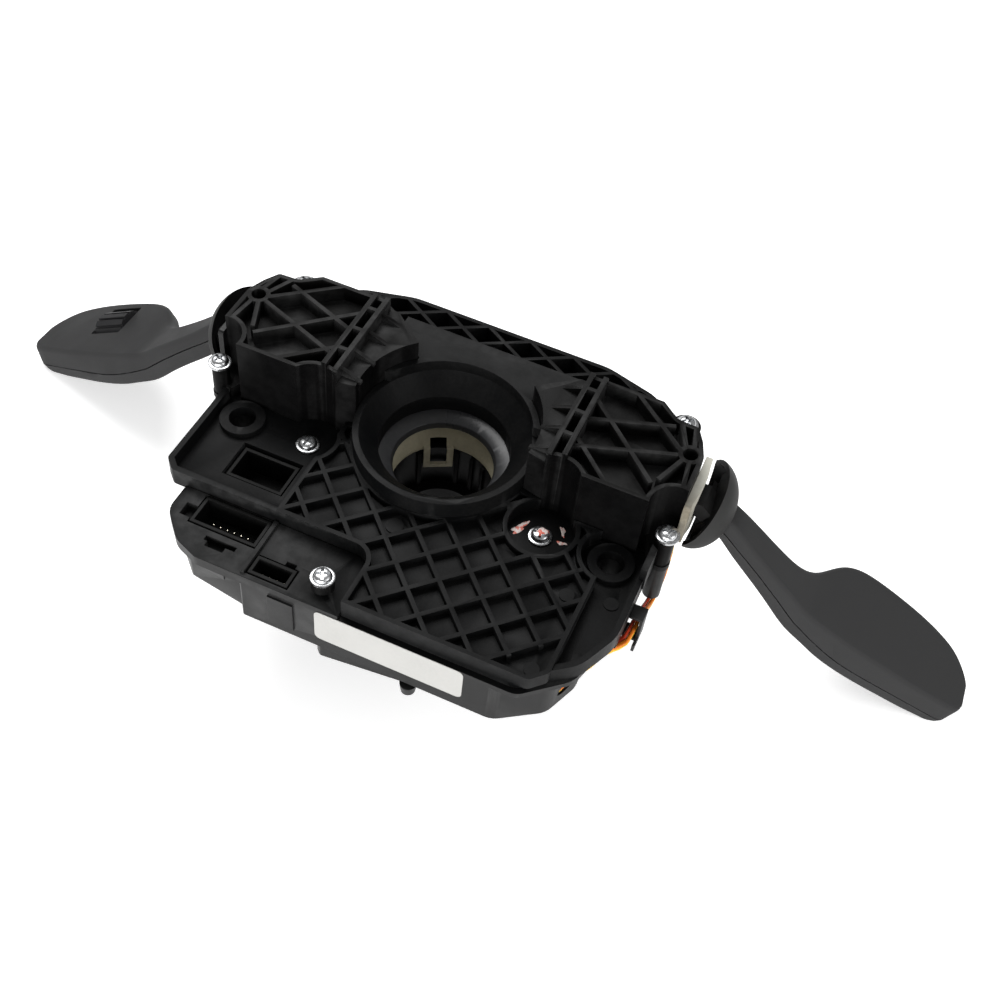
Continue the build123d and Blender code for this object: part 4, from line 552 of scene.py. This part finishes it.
ROOF_EDGE = -7.0            # level under which a switch housing's walls get a painted shade
TAB_ANGLE = 119.0           # degrees round the column to the drive ring's tab
TAB_RADII = (14.5, 24.5)
TAB_HALF_WIDTH = 3.0
TAB_LEVELS = (-45.0, -39.4)


def second_finish(piece, material, belongs):
    """Gives a second material to the faces for which belongs(centre in mm with its level, normal) holds."""
    piece.data.materials.append(material)
    for face in piece.data.polygons:
        centre = face.center / MM
        centre.z -= BRACKET_FACE
        if belongs(centre, face.normal):
            face.material_index = len(piece.data.materials) - 1


def blacken_hollow(piece):
    """The inside of a hood is bare moulding, without the soft paint of its outside."""
    def within(centre, normal):
        spot = (abs(centre.x), centre.y, centre.z)
        shares = ((value - middle) / half for value, middle, half in zip(spot, HOOD_CENTRE, HOOD_HALF))
        return sum(share ** 2 for share in shares) < INSIDE_SHARE ** 2

    second_finish(piece, socket_black, within)


def round_and_shade_housing(piece):
    """Upright corners rounded; the faces that look up get the carrier's darker finish, a painted shade on
    the housing's top.
    """
    round_uprights(piece, SOCKET_WALL_CORNER, SOCKET_WALL_END)
    # Painted shade: the housing's upward faces take the darker carrier finish, so that they read darker than
    # its lit front walls.
    second_finish(piece, carrier_black, lambda centre, normal: normal.z > LOOKS_UP)


def shade_module_walls(piece):
    """The walls under the ribbed roof are painted darker than the roof: a painted shade."""
    # Painted shade on the walls under the roof.
    second_finish(piece, shaded_wall_black,
                  lambda centre, normal: abs(normal.z) < UPRIGHT and centre.z < ROOF_EDGE)


def added_thickness(y):
    """Extra thickness of the gate plate at a Y, between the stations of its profile."""
    if y <= GATE_PROFILE[0][0]:
        return GATE_PROFILE[0][1]
    for (low, less), (high, more) in zip(GATE_PROFILE, GATE_PROFILE[1:]):
        if y <= high:
            return less + (more - less) * (y - low) / (high - low)
    return GATE_PROFILE[-1][1]


def deepen_gate(piece):
    """Thickens the outer rails, clear of the swinging hood, and flares the slot for the lever."""
    bm = bmesh.new()
    bm.from_mesh(piece.data)
    for y, _ in GATE_PROFILE:
        everything = bm.verts[:] + bm.edges[:] + bm.faces[:]
        bmesh.ops.bisect_plane(bm, geom=everything, plane_co=(0.0, y * MM, 0.0),
                               plane_no=(0.0, 1.0, 0.0), dist=CUT_REACH)
    bm.to_mesh(piece.data)
    bm.free()

    def move(x, y, z):
        if abs(x) - GATE_INNER_FACE < GATE_WEB / 2:
            return 0.0, 0.0, 0.0
        flare = (0.0, 0.0)
        across, up = y - SLOT_CENTRE[0], z - SLOT_CENTRE[1]
        if abs(across) < SLOT_HALF[0] + SLOT_EDGE and abs(up) < SLOT_HALF[1] + SLOT_EDGE:
            flare = (across * SLOT_FLARE, up * SLOT_FLARE)
        return added_thickness(y) * (1 if x > 0 else -1), *flare

    shift_points(piece, move)


def part_from(partner):
    """Seam work for a lever's shell, against the other shell."""
    return lambda piece: open_seam(piece, nodes[partner])


WORKED = {
    "electronics_housing": round_and_shade_housing,
    "signal_switch_housing": shade_module_walls,
    "wiper_switch_housing": shade_module_walls,
    "front_cover": lambda piece: round_uprights(piece, COVER_CORNER, COVER_CORNER_END),
    "signal_hood": blacken_hollow,
    "wiper_hood": blacken_hollow,
    "signal_gate_plate": deepen_gate,
    "drive_ring": lambda piece: cut_window(piece, TAB_ANGLE, TAB_RADII, TAB_HALF_WIDTH, TAB_LEVELS),
    "signal_stalk_rear_shell": part_from("signal_stalk_front_shell"),
    "signal_stalk_front_shell": part_from("signal_stalk_rear_shell"),
    "wiper_stalk_rear_shell": part_from("wiper_stalk_front_shell"),
    "wiper_stalk_front_shell": part_from("wiper_stalk_rear_shell"),
}
for node, (material, radius_mm) in MOULDINGS.items():
    moulding(node, material, radius_mm * MM, shape=WORKED.get(node))

BARE_NODES = {
    mechanism_black: ("wiper_lever", "signal_lever", "wiper_swivel", "signal_swivel"),
    housing_black: ("wiper_switch_base", "signal_switch_base", "wiper_detent_track", "signal_detent_track"),
    socket_black: ("angle_sensor", "code_disk"),
    acetal_cream: ("wiper_detent_plunger", "signal_detent_plunger"),
    board_green: ("main_board", "wiper_switch_board", "signal_switch_board"),
    film_amber: ("flat_cable",),
    spring_steel: ("wiper_detent_spring", "signal_detent_spring", "wiper_cross_pin", "signal_cross_pin",
                   "thumb_wheel_axle"),
}
for material, names in BARE_NODES.items():
    for node in names:
        give(nodes[node], material)

LEAD_TUCK = (-2.9, 4.2)     # X and Z by which the leads lie nearer to the wall, under the carrier's skirt
TUCK_SPAN = (-36.0, -47.0, -54.5, -58.4)    # Y where the tuck begins, is full, eases and ends


def ease(value, start, end):
    """Smooth step from 0 at start to 1 at end."""
    share = min(max((value - start) / (end - start), 0.0), 1.0)
    return share * share * (3.0 - 2.0 * share)


def tuck_in(piece):
    """Brings a lead nearer to the wall over the span of the tuck."""
    begins, full, eases, ends = TUCK_SPAN

    def move(x, y, z):
        share = ease(y, begins, full) * (1.0 - ease(y, eases, ends))
        return LEAD_TUCK[0] * share, 0.0, LEAD_TUCK[1] * share

    shift_points(piece, move)


for shade, material in lead_finishes.items():
    turned("lead_" + shade, material, tuck_in)


# ------------------------------------------------------------------ repeated hardware
LEVEL_FACE = 0.98           # least rise of the normal of a face that counts as level


class Recipe:
    """Geometry tree that sets one made shape on every vertex of the mesh it is given."""

    def __init__(self, name, sizes):
        self.tree = bpy.data.node_groups.new(name, "GeometryNodeTree")
        face = self.tree.interface
        face.new_socket("Geometry", in_out="INPUT", socket_type="NodeSocketGeometry")
        for label, value in sizes.items():
            socket = face.new_socket(label, in_out="INPUT", socket_type="NodeSocketFloat")
            socket.default_value = value
        face.new_socket("Finish", in_out="INPUT", socket_type="NodeSocketMaterial")
        face.new_socket("Geometry", in_out="OUTPUT", socket_type="NodeSocketGeometry")
        self.given = self.tree.nodes.new("NodeGroupInput")

    def size(self, label):
        return self.given.outputs[label]

    def put(self, socket, value):
        if isinstance(value, bpy.types.NodeSocket):
            self.tree.links.new(value, socket)
        else:
            socket.default_value = value

    def node(self, kind, settings=None, **inputs):
        node = self.tree.nodes.new(kind)
        for label, value in (settings or {}).items():
            setattr(node, label, value)
        for label, value in inputs.items():
            self.put(node.inputs[label.replace("_", " ")], value)
        return node

    def sum(self, a, b, operation="ADD"):
        node = self.tree.nodes.new("ShaderNodeMath")
        node.operation = operation
        self.put(node.inputs[0], a)
        self.put(node.inputs[1], b)
        return node.outputs[0]

    def along_z(self, z):
        return self.node("ShaderNodeCombineXYZ", Z=z).outputs[0]

    def facing(self, up):
        """Selection of the flat faces that look up (1) or down (-1)."""
        normal = self.tree.nodes.new("GeometryNodeInputNormal").outputs[0]
        split = self.node("ShaderNodeSeparateXYZ", Vector=normal)
        test = self.node("FunctionNodeCompare", {"data_type": "FLOAT", "operation": "GREATER_THAN"})
        self.put(test.inputs[0], self.sum(split.outputs["Z"], float(up), "MULTIPLY"))
        test.inputs[1].default_value = LEVEL_FACE
        return test.outputs[0]

    def step(self, mesh, chosen, rise, shrink):
        """Draws the chosen faces out by a rise and scales the drawn end."""
        drawn = self.node("GeometryNodeExtrudeMesh", {"mode": "FACES"}, Mesh=mesh, Selection=chosen,
                          Offset_Scale=rise)
        drawn.inputs["Individual"].default_value = False
        end = self.node("GeometryNodeScaleElements", Geometry=drawn.outputs["Mesh"],
                        Selection=drawn.outputs["Top"], Scale=shrink)
        return end.outputs["Geometry"], drawn.outputs["Top"]

    def finish(self, shape):
        """Shape on every given vertex, turned by its own turn and flip, with one finish."""
        angles = self.node("ShaderNodeCombineXYZ")
        for socket, attribute in (("X", "flip"), ("Z", "turn")):
            read = self.node("GeometryNodeInputNamedAttribute", {"data_type": "FLOAT"}, Name=attribute)
            self.put(angles.inputs[socket], read.outputs[0])
        place = self.node("GeometryNodeInstanceOnPoints", Points=self.given.outputs["Geometry"],
                          Instance=shape, Rotation=angles.outputs[0])
        real = self.node("GeometryNodeRealizeInstances", Geometry=place.outputs[0])
        dressed = self.node("GeometryNodeSetMaterial", Geometry=real.outputs[0],
                            Material=self.given.outputs["Finish"])
        out = self.tree.nodes.new("NodeGroupOutput")
        self.tree.links.new(dressed.outputs[0], out.inputs[0])
        return self.tree


# Rise of each step in mm, and how much narrower it gets: rounded rim, flat, groove round the crown.
FLANGE_STEPS = ((0.12, 0.95), (0.02, 0.84), (-0.28, 0.97))
# The same for the crown, with its rise as a share of the crown's height.
CROWN_STEPS = ((0.40, 0.975), (0.24, 0.93), (0.16, 0.88), (0.10, 0.80), (0.06, 0.66), (0.03, 0.42))
RECESS_REACH = 1.12         # length of the cross recess, in head radii
HEART_RADII = (1.5 * MM, 0.55 * MM)     # of the recess's middle, above and below
SCREW_TIP = 1.5 * MM        # length of the lead-in tip
TIP_SHRINK = 0.45           # how much narrower the tip ends than the shank
PIN_SHRINK = 0.4            # the same for a contact pin's point


def flanged_screw():
    """Pan head over a washer flange, cross recess, shank with a lead-in tip; origin under the flange."""
    made = Recipe("Flanged pan screw", {
        "Head radius": 4.0 * MM, "Flange height": 0.75 * MM, "Crown height": 2.15 * MM,
        "Recess width": 0.95 * MM, "Recess depth": 1.5 * MM,
        "Shank radius": 1.85 * MM, "Shank length": 12.0 * MM,
    })
    flange = made.node("GeometryNodeMeshCylinder", Vertices=64, Radius=made.size("Head radius"),
                       Depth=made.size("Flange height"))
    half = made.sum(made.size("Flange height"), 0.5, "MULTIPLY")
    raised = made.node("GeometryNodeTransform", Geometry=flange.outputs["Mesh"],
                       Translation=made.along_z(half))
    mesh, chosen = raised.outputs[0], made.facing(1)
    for rise, shrink in FLANGE_STEPS:
        mesh, chosen = made.step(mesh, chosen, rise * MM, shrink)
    for share, shrink in CROWN_STEPS:
        rise = made.sum(made.size("Crown height"), share, "MULTIPLY")
        mesh, chosen = made.step(mesh, chosen, rise, shrink)
    ratio = made.sum(made.size("Shank radius"), made.size("Head radius"), "DIVIDE")
    mesh, chosen = made.step(mesh, made.facing(-1), 0.0, ratio)
    straight = made.sum(made.size("Shank length"), -SCREW_TIP)
    mesh, chosen = made.step(mesh, chosen, straight, 1.0)
    mesh, chosen = made.step(mesh, chosen, SCREW_TIP, TIP_SHRINK)
    arms = []
    top = made.sum(made.size("Flange height"), made.size("Crown height"))
    reach = made.sum(made.size("Head radius"), RECESS_REACH, "MULTIPLY")
    deep = made.sum(made.size("Recess depth"), 2.0, "MULTIPLY")
    for sizes in ((reach, made.size("Recess width")), (made.size("Recess width"), reach)):
        box = made.node("ShaderNodeCombineXYZ", X=sizes[0], Y=sizes[1], Z=deep)
        arm = made.node("GeometryNodeMeshCube", Size=box.outputs[0])
        arms.append(arm.outputs["Mesh"])
    heart = made.node("GeometryNodeMeshCone", Vertices=8, Radius_Top=HEART_RADII[0],
                      Radius_Bottom=HEART_RADII[1], Depth=deep)
    low = made.along_z(made.sum(made.size("Recess depth"), -1.0, "MULTIPLY"))
    heart = made.node("GeometryNodeTransform", Geometry=heart.outputs["Mesh"], Translation=low)
    cut = made.node("GeometryNodeMeshBoolean", {"operation": "DIFFERENCE", "solver": "EXACT"})
    made.put(cut.inputs["Mesh 1"], mesh)
    for cutter in (*arms, heart.outputs[0]):
        sunk = made.node("GeometryNodeTransform", Geometry=cutter, Translation=made.along_z(top))
        made.tree.links.new(sunk.outputs[0], cut.inputs["Mesh 2"])
    return made.finish(cut.outputs["Mesh"])


def contact_pin():
    """Square pin with a coined point; origin at its root."""
    made = Recipe("Contact pin", {"Side": 0.64 * MM, "Length": 5.0 * MM, "Point": 0.8 * MM})
    straight = made.sum(made.size("Length"), made.size("Point"), "SUBTRACT")
    box = made.node("ShaderNodeCombineXYZ", X=made.size("Side"), Y=made.size("Side"), Z=straight)
    bar = made.node("GeometryNodeMeshCube", Size=box.outputs[0])
    half = made.sum(straight, 0.5, "MULTIPLY")
    raised = made.node("GeometryNodeTransform", Geometry=bar.outputs["Mesh"], Translation=made.along_z(half))
    mesh, _ = made.step(raised.outputs[0], made.facing(1), made.size("Point"), PIN_SHRINK)
    return made.finish(mesh)


HARDWARE_ANGLE = 34.0       # degrees; keeps the crown of a screw smooth and its recess sharp


def set_out(node, spots, tree, finish, **sizes):
    """Repeats a tree's shape on spots (x, y, level, turn, flip) and shows the result in a node's place."""
    mesh = bpy.data.meshes.new(node + "_spots")
    mesh.from_pydata([(x * MM, y * MM, (level + BRACKET_FACE) * MM) for x, y, level, _, _ in spots], [], [])
    for label, column in (("turn", 3), ("flip", 4)):
        values = mesh.attributes.new(label, "FLOAT", "POINT")
        for item, spot in zip(values.data, spots):
            item.value = radians(spot[column])
    piece = link(node + "_set", mesh)
    recipe = piece.modifiers.new("Recipe", "NODES")
    recipe.node_group = tree
    keys = {item.name: item.identifier for item in tree.interface.items_tree if item.in_out == "INPUT"}
    recipe[keys["Finish"]] = finish
    for label, value in sizes.items():
        recipe[keys[label.replace("_", " ").capitalize()]] = value
    ready = piece.evaluated_get(bpy.context.evaluated_depsgraph_get())
    result = bpy.data.meshes.new_from_object(ready)
    piece.modifiers.remove(recipe)
    piece.data = result
    bpy.data.meshes.remove(mesh)
    smooth_by_angle(piece, HARDWARE_ANGLE)
    stand_for(piece, node)


def both_sides(x, y, level, turn):
    """A spot and its mirror image across the column."""
    return [(x, y, level, turn, 0.0), (-x, y, level, -turn, 0.0)]


# Spots are x, y, level, turn and flip, in mm and degrees; then comes the shank's length in mm.
COVER_SPOTS = ((-50.0, -46.2), (60.0, -60.0), (60.0, 29.5), (-60.0, 29.5))
SCREW_SETS = {
    "post_screws": (both_sides(81.3, -8.0, -14.4, 20.0), 24.0),
    "rear_screws": (both_sides(72.3, 35.6, -9.6, 35.0), 12.0),
    "tray_screws": (both_sides(42.7, -17.5, -27.0, 10.0), 12.0),
    "block_screw": ([(-10.9, -66.0, -23.5, 25.0, 0.0)], 10.0),
    "cover_screws": ([(x, y, -51.0, 25.0, 180.0) for x, y in COVER_SPOTS], 11.0),
}
screw_tree = flanged_screw()
for node, (spots, length_mm) in SCREW_SETS.items():
    set_out(node, spots, screw_tree, zinc, Shank_length=length_mm * MM)

PIN_PITCH = 2.54
PIN_SETS = {        # first pin's x, pins in a row, the rows' y, level of the roots
    "socket_12way_pins": (-55.4, 6, (-60.4, -57.6), -37.2),
    "socket_4way_pins": (-31.4, 4, (-67.9,), -37.2),
    "tray_socket_pins": (-56.0, 5, (-38.4,), -38.2),
}
pin_tree = contact_pin()
for node, (first, count, rows, root) in PIN_SETS.items():
    spots = [(first + PIN_PITCH * place, y, root, 0.0, 0.0) for y in rows for place in range(count)]
    set_out(node, spots, pin_tree, tin)


# ------------------------------------------------------------------ label and seal lacquer
LABEL_CORNERS = (-9.6, 41.4, -43.8, -29.4)      # lowest and highest x, lowest and highest level
LABEL_RADIUS = 2.0
LABEL_WALL = -74.3          # Y of the wall that it sticks to
LABEL_THICKNESS = 0.22
LABEL_EDGE = 0.06           # edge radius
CORNER_STEPS = 6


def rounded_sheet(bm, corners, radius, face_y, thickness):
    """Upright sheet with rounded corners on a wall that looks to -Y."""
    left, right, low, high = corners
    rim = []
    for cx, cz, start in ((right - radius, high - radius, 0.0), (left + radius, high - radius, 90.0),
                          (left + radius, low + radius, 180.0), (right - radius, low + radius, 270.0)):
        for step in range(CORNER_STEPS + 1):
            angle = radians(start + 90.0 * step / CORNER_STEPS)
            rim.append((cx + radius * cos(angle), cz + radius * sin(angle)))
    layers = []
    for y in (face_y, face_y - thickness):
        layers.append([bm.verts.new((x * MM, y * MM, (z + BRACKET_FACE) * MM)) for x, z in rim])
    back, front = layers
    bm.faces.new(front)
    bm.faces.new(list(reversed(back)))
    for k in range(len(rim)):
        n = (k + 1) % len(rim)
        bm.faces.new((back[k], back[n], front[n], front[k]))
    bmesh.ops.recalc_face_normals(bm, faces=bm.faces)


label = mesh_from("blank_label", lambda bm: rounded_sheet(
    bm, LABEL_CORNERS, LABEL_RADIUS, LABEL_WALL, LABEL_THICKNESS))
give(label, paper_white)
soften(label, LABEL_EDGE * MM)
stand_for(label, "label_plate")


BLOT_POINTS = 40            # round the rim of a dab
BLOT_RINGS = ((1.0, 0.0), (0.93, 0.55), (0.72, 0.85), (0.4, 1.0))     # share of the reach and of the rise


def blot(bm, centre, reach, turn, base, rise, waves, dome):
    """Dried dab with a ragged rim, thick in the middle; waves are (count, depth, phase) of its rim."""
    cx, cy = centre
    half_long, half_short = reach
    rings = []
    for share, height in BLOT_RINGS:
        ring = []
        for k in range(BLOT_POINTS):
            angle = 2.0 * pi * k / BLOT_POINTS
            edge = 1.0 + sum(depth * sin(count * angle + phase) for count, depth, phase in waves)
            u = half_long * edge * share * cos(angle)
            v = half_short * edge * share * sin(angle)
            x = cx + u * cos(turn) - v * sin(turn)
            y = cy + u * sin(turn) + v * cos(turn)
            fall = dome * (u * u + v * v)
            ring.append(bm.verts.new((x * MM, y * MM, (base - fall + rise * height + BRACKET_FACE) * MM)))
        rings.append(ring)
    for low, high in zip(rings, rings[1:]):
        for k in range(BLOT_POINTS):
            n = (k + 1) % BLOT_POINTS
            bm.faces.new((low[k], low[n], high[n], high[k]))
    bm.faces.new(rings[-1])
    bm.faces.new(list(reversed(rings[0])))
    bmesh.ops.recalc_face_normals(bm, faces=bm.faces)


TRAY_LEVEL = -27.0
CROWN_LEVEL = TRAY_LEVEL + 2.62     # of the screw's crown, where the head's dab lies
DAB_SINK = 0.02             # depth by which a dab is sunk into the tray
DAB_ANGLE = 60.0            # degrees; edges under it are shaded smooth
CROWN_FALL = 0.14           # fall of the crown from its middle, per mm squared
SEAL_DABS = {       # centre, half sizes, turn, rise, waves of the rim
    "seal_dab_left": ((35.2, -17.0), (3.3, 1.35), radians(62.0), 0.16,
                      ((2, 0.16, 0.4), (3, 0.24, 1.1), (5, 0.12, 2.0), (9, 0.06, 0.3))),
    "seal_dab_right": ((48.6, -12.0), (2.1, 0.75), radians(-62.0), 0.14,
                       ((3, 0.26, 2.2), (5, 0.1, 0.5), (8, 0.08, 1.0))),
    "seal_dab_low": ((50.0, -16.7), (1.5, 0.75), radians(5.0), 0.14,
                     ((2, 0.18, 0.9), (3, 0.22, 0.2), (7, 0.1, 1.7))),
    "seal_dab_head": ((42.9, -16.9), (2.15, 1.75), radians(15.0), 0.36,
                      ((2, 0.07, 0.4), (3, 0.1, 1.4), (5, 0.08, 0.2), (8, 0.06, 2.4))),
}
for name, (centre, reach, turn, rise, waves) in SEAL_DABS.items():
    base, dome = (CROWN_LEVEL, CROWN_FALL) if name == "seal_dab_head" else (TRAY_LEVEL - DAB_SINK, 0.0)
    dab = mesh_from(name, lambda bm: blot(bm, centre, reach, turn, base, rise, waves, dome))
    give(dab, seal_lacquer)
    smooth_by_angle(dab, DAB_ANGLE)
    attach(dab, body_of_node("rear_carrier"))


# ------------------------------------------------------------------ studio
CAMERA_PLACE = Vector((0.1094, -0.2743, 0.3344))
CAMERA_RIGHT = Vector((0.9139, 0.3974, 0.0827))
CAMERA_DOWN = Vector((0.3573, -0.6909, -0.6285))
CAMERA_AHEAD = Vector((-0.1926, 0.604, -0.7734))
LENS = 47.53                # mm
SENSOR = 36.0               # mm, its width
FLOOR_LEVEL = -0.0735
FLOOR_HALF = 3.0
FLOOR_LIFT = 0.5            # light of its own that the floor shows to the camera and to glossy surfaces
WORLD_LIGHT = 0.33          # strength of the world on the object
SOFTBOXES = {       # place, what it looks at, size, watts
    "Key softbox": ((-0.35, 0.35, 0.75), (0.0, 0.0, 0.0), (0.7, 0.5), 8.0),
    "Side softbox": ((0.8, -0.1, 0.4), (0.05, 0.0, 0.0), (0.5, 0.5), 3.0),
    "Front softbox": ((0.05, -0.85, 0.12), (0.0, 0.0, -0.02), (0.9, 0.35), 8.0),
}


def add_camera():
    camera = link("Camera", bpy.data.cameras.new("Camera"))
    camera.data.sensor_width = SENSOR
    camera.data.lens = LENS
    camera.data.clip_start = 0.01
    turn = Matrix((CAMERA_RIGHT, -CAMERA_DOWN, -CAMERA_AHEAD)).transposed()
    camera.matrix_world = Matrix.Translation(CAMERA_PLACE) @ turn.to_4x4()
    bpy.context.scene.camera = camera


def add_softbox(name, place, target, size, power):
    light = bpy.data.lights.new(name, "AREA")
    light.shape = "RECTANGLE"
    light.size, light.size_y = size
    light.energy = power
    lamp = link(name, light)
    lamp.location = place
    aim = (Vector(target) - Vector(place)).to_track_quat("-Z", "Y")
    lamp.rotation_euler = aim.to_euler()


def add_floor():
    """White floor that stays white to the eye and still takes the object's shadow."""
    def build(bm):
        signs = ((-1, -1), (1, -1), (1, 1), (-1, 1))
        bm.faces.new([bm.verts.new((x * FLOOR_HALF, y * FLOOR_HALF, FLOOR_LEVEL)) for x, y in signs])

    floor = mesh_from("Studio floor", build)
    material, tree, shader = plain_material("Studio white")
    shader.inputs["Base Color"].default_value = (0.9, 0.9, 0.9, 1.0)
    shader.inputs["Roughness"].default_value = 0.9
    seen = tree.nodes.new("ShaderNodeLightPath")
    shader.inputs["Emission Color"].default_value = (1.0, 1.0, 1.0, 1.0)
    lift = maths(tree, "MAXIMUM", seen.outputs["Is Camera Ray"], seen.outputs["Is Glossy Ray"])
    tree.links.new(maths(tree, "MULTIPLY", lift, FLOOR_LIFT), shader.inputs["Emission Strength"])
    give(floor, material)


def add_world():
    world = bpy.data.worlds.new("Studio")
    bpy.context.scene.world = world
    world.use_nodes = True
    tree = world.node_tree
    background = tree.nodes["Background"]
    background.inputs["Color"].default_value = (1.0, 1.0, 1.0, 1.0)
    seen = tree.nodes.new("ShaderNodeLightPath")
    strength = maths(tree, "MAXIMUM", seen.outputs["Is Camera Ray"], seen.outputs["Is Transmission Ray"])
    strength = maths(tree, "MAXIMUM", strength, WORLD_LIGHT)
    tree.links.new(strength, background.inputs["Strength"])


add_camera()
add_floor()
add_world()
for name, (place, target, size, power) in SOFTBOXES.items():
    add_softbox(name, place, target, size, power)
bpy.context.scene.view_settings.view_transform = "Standard"
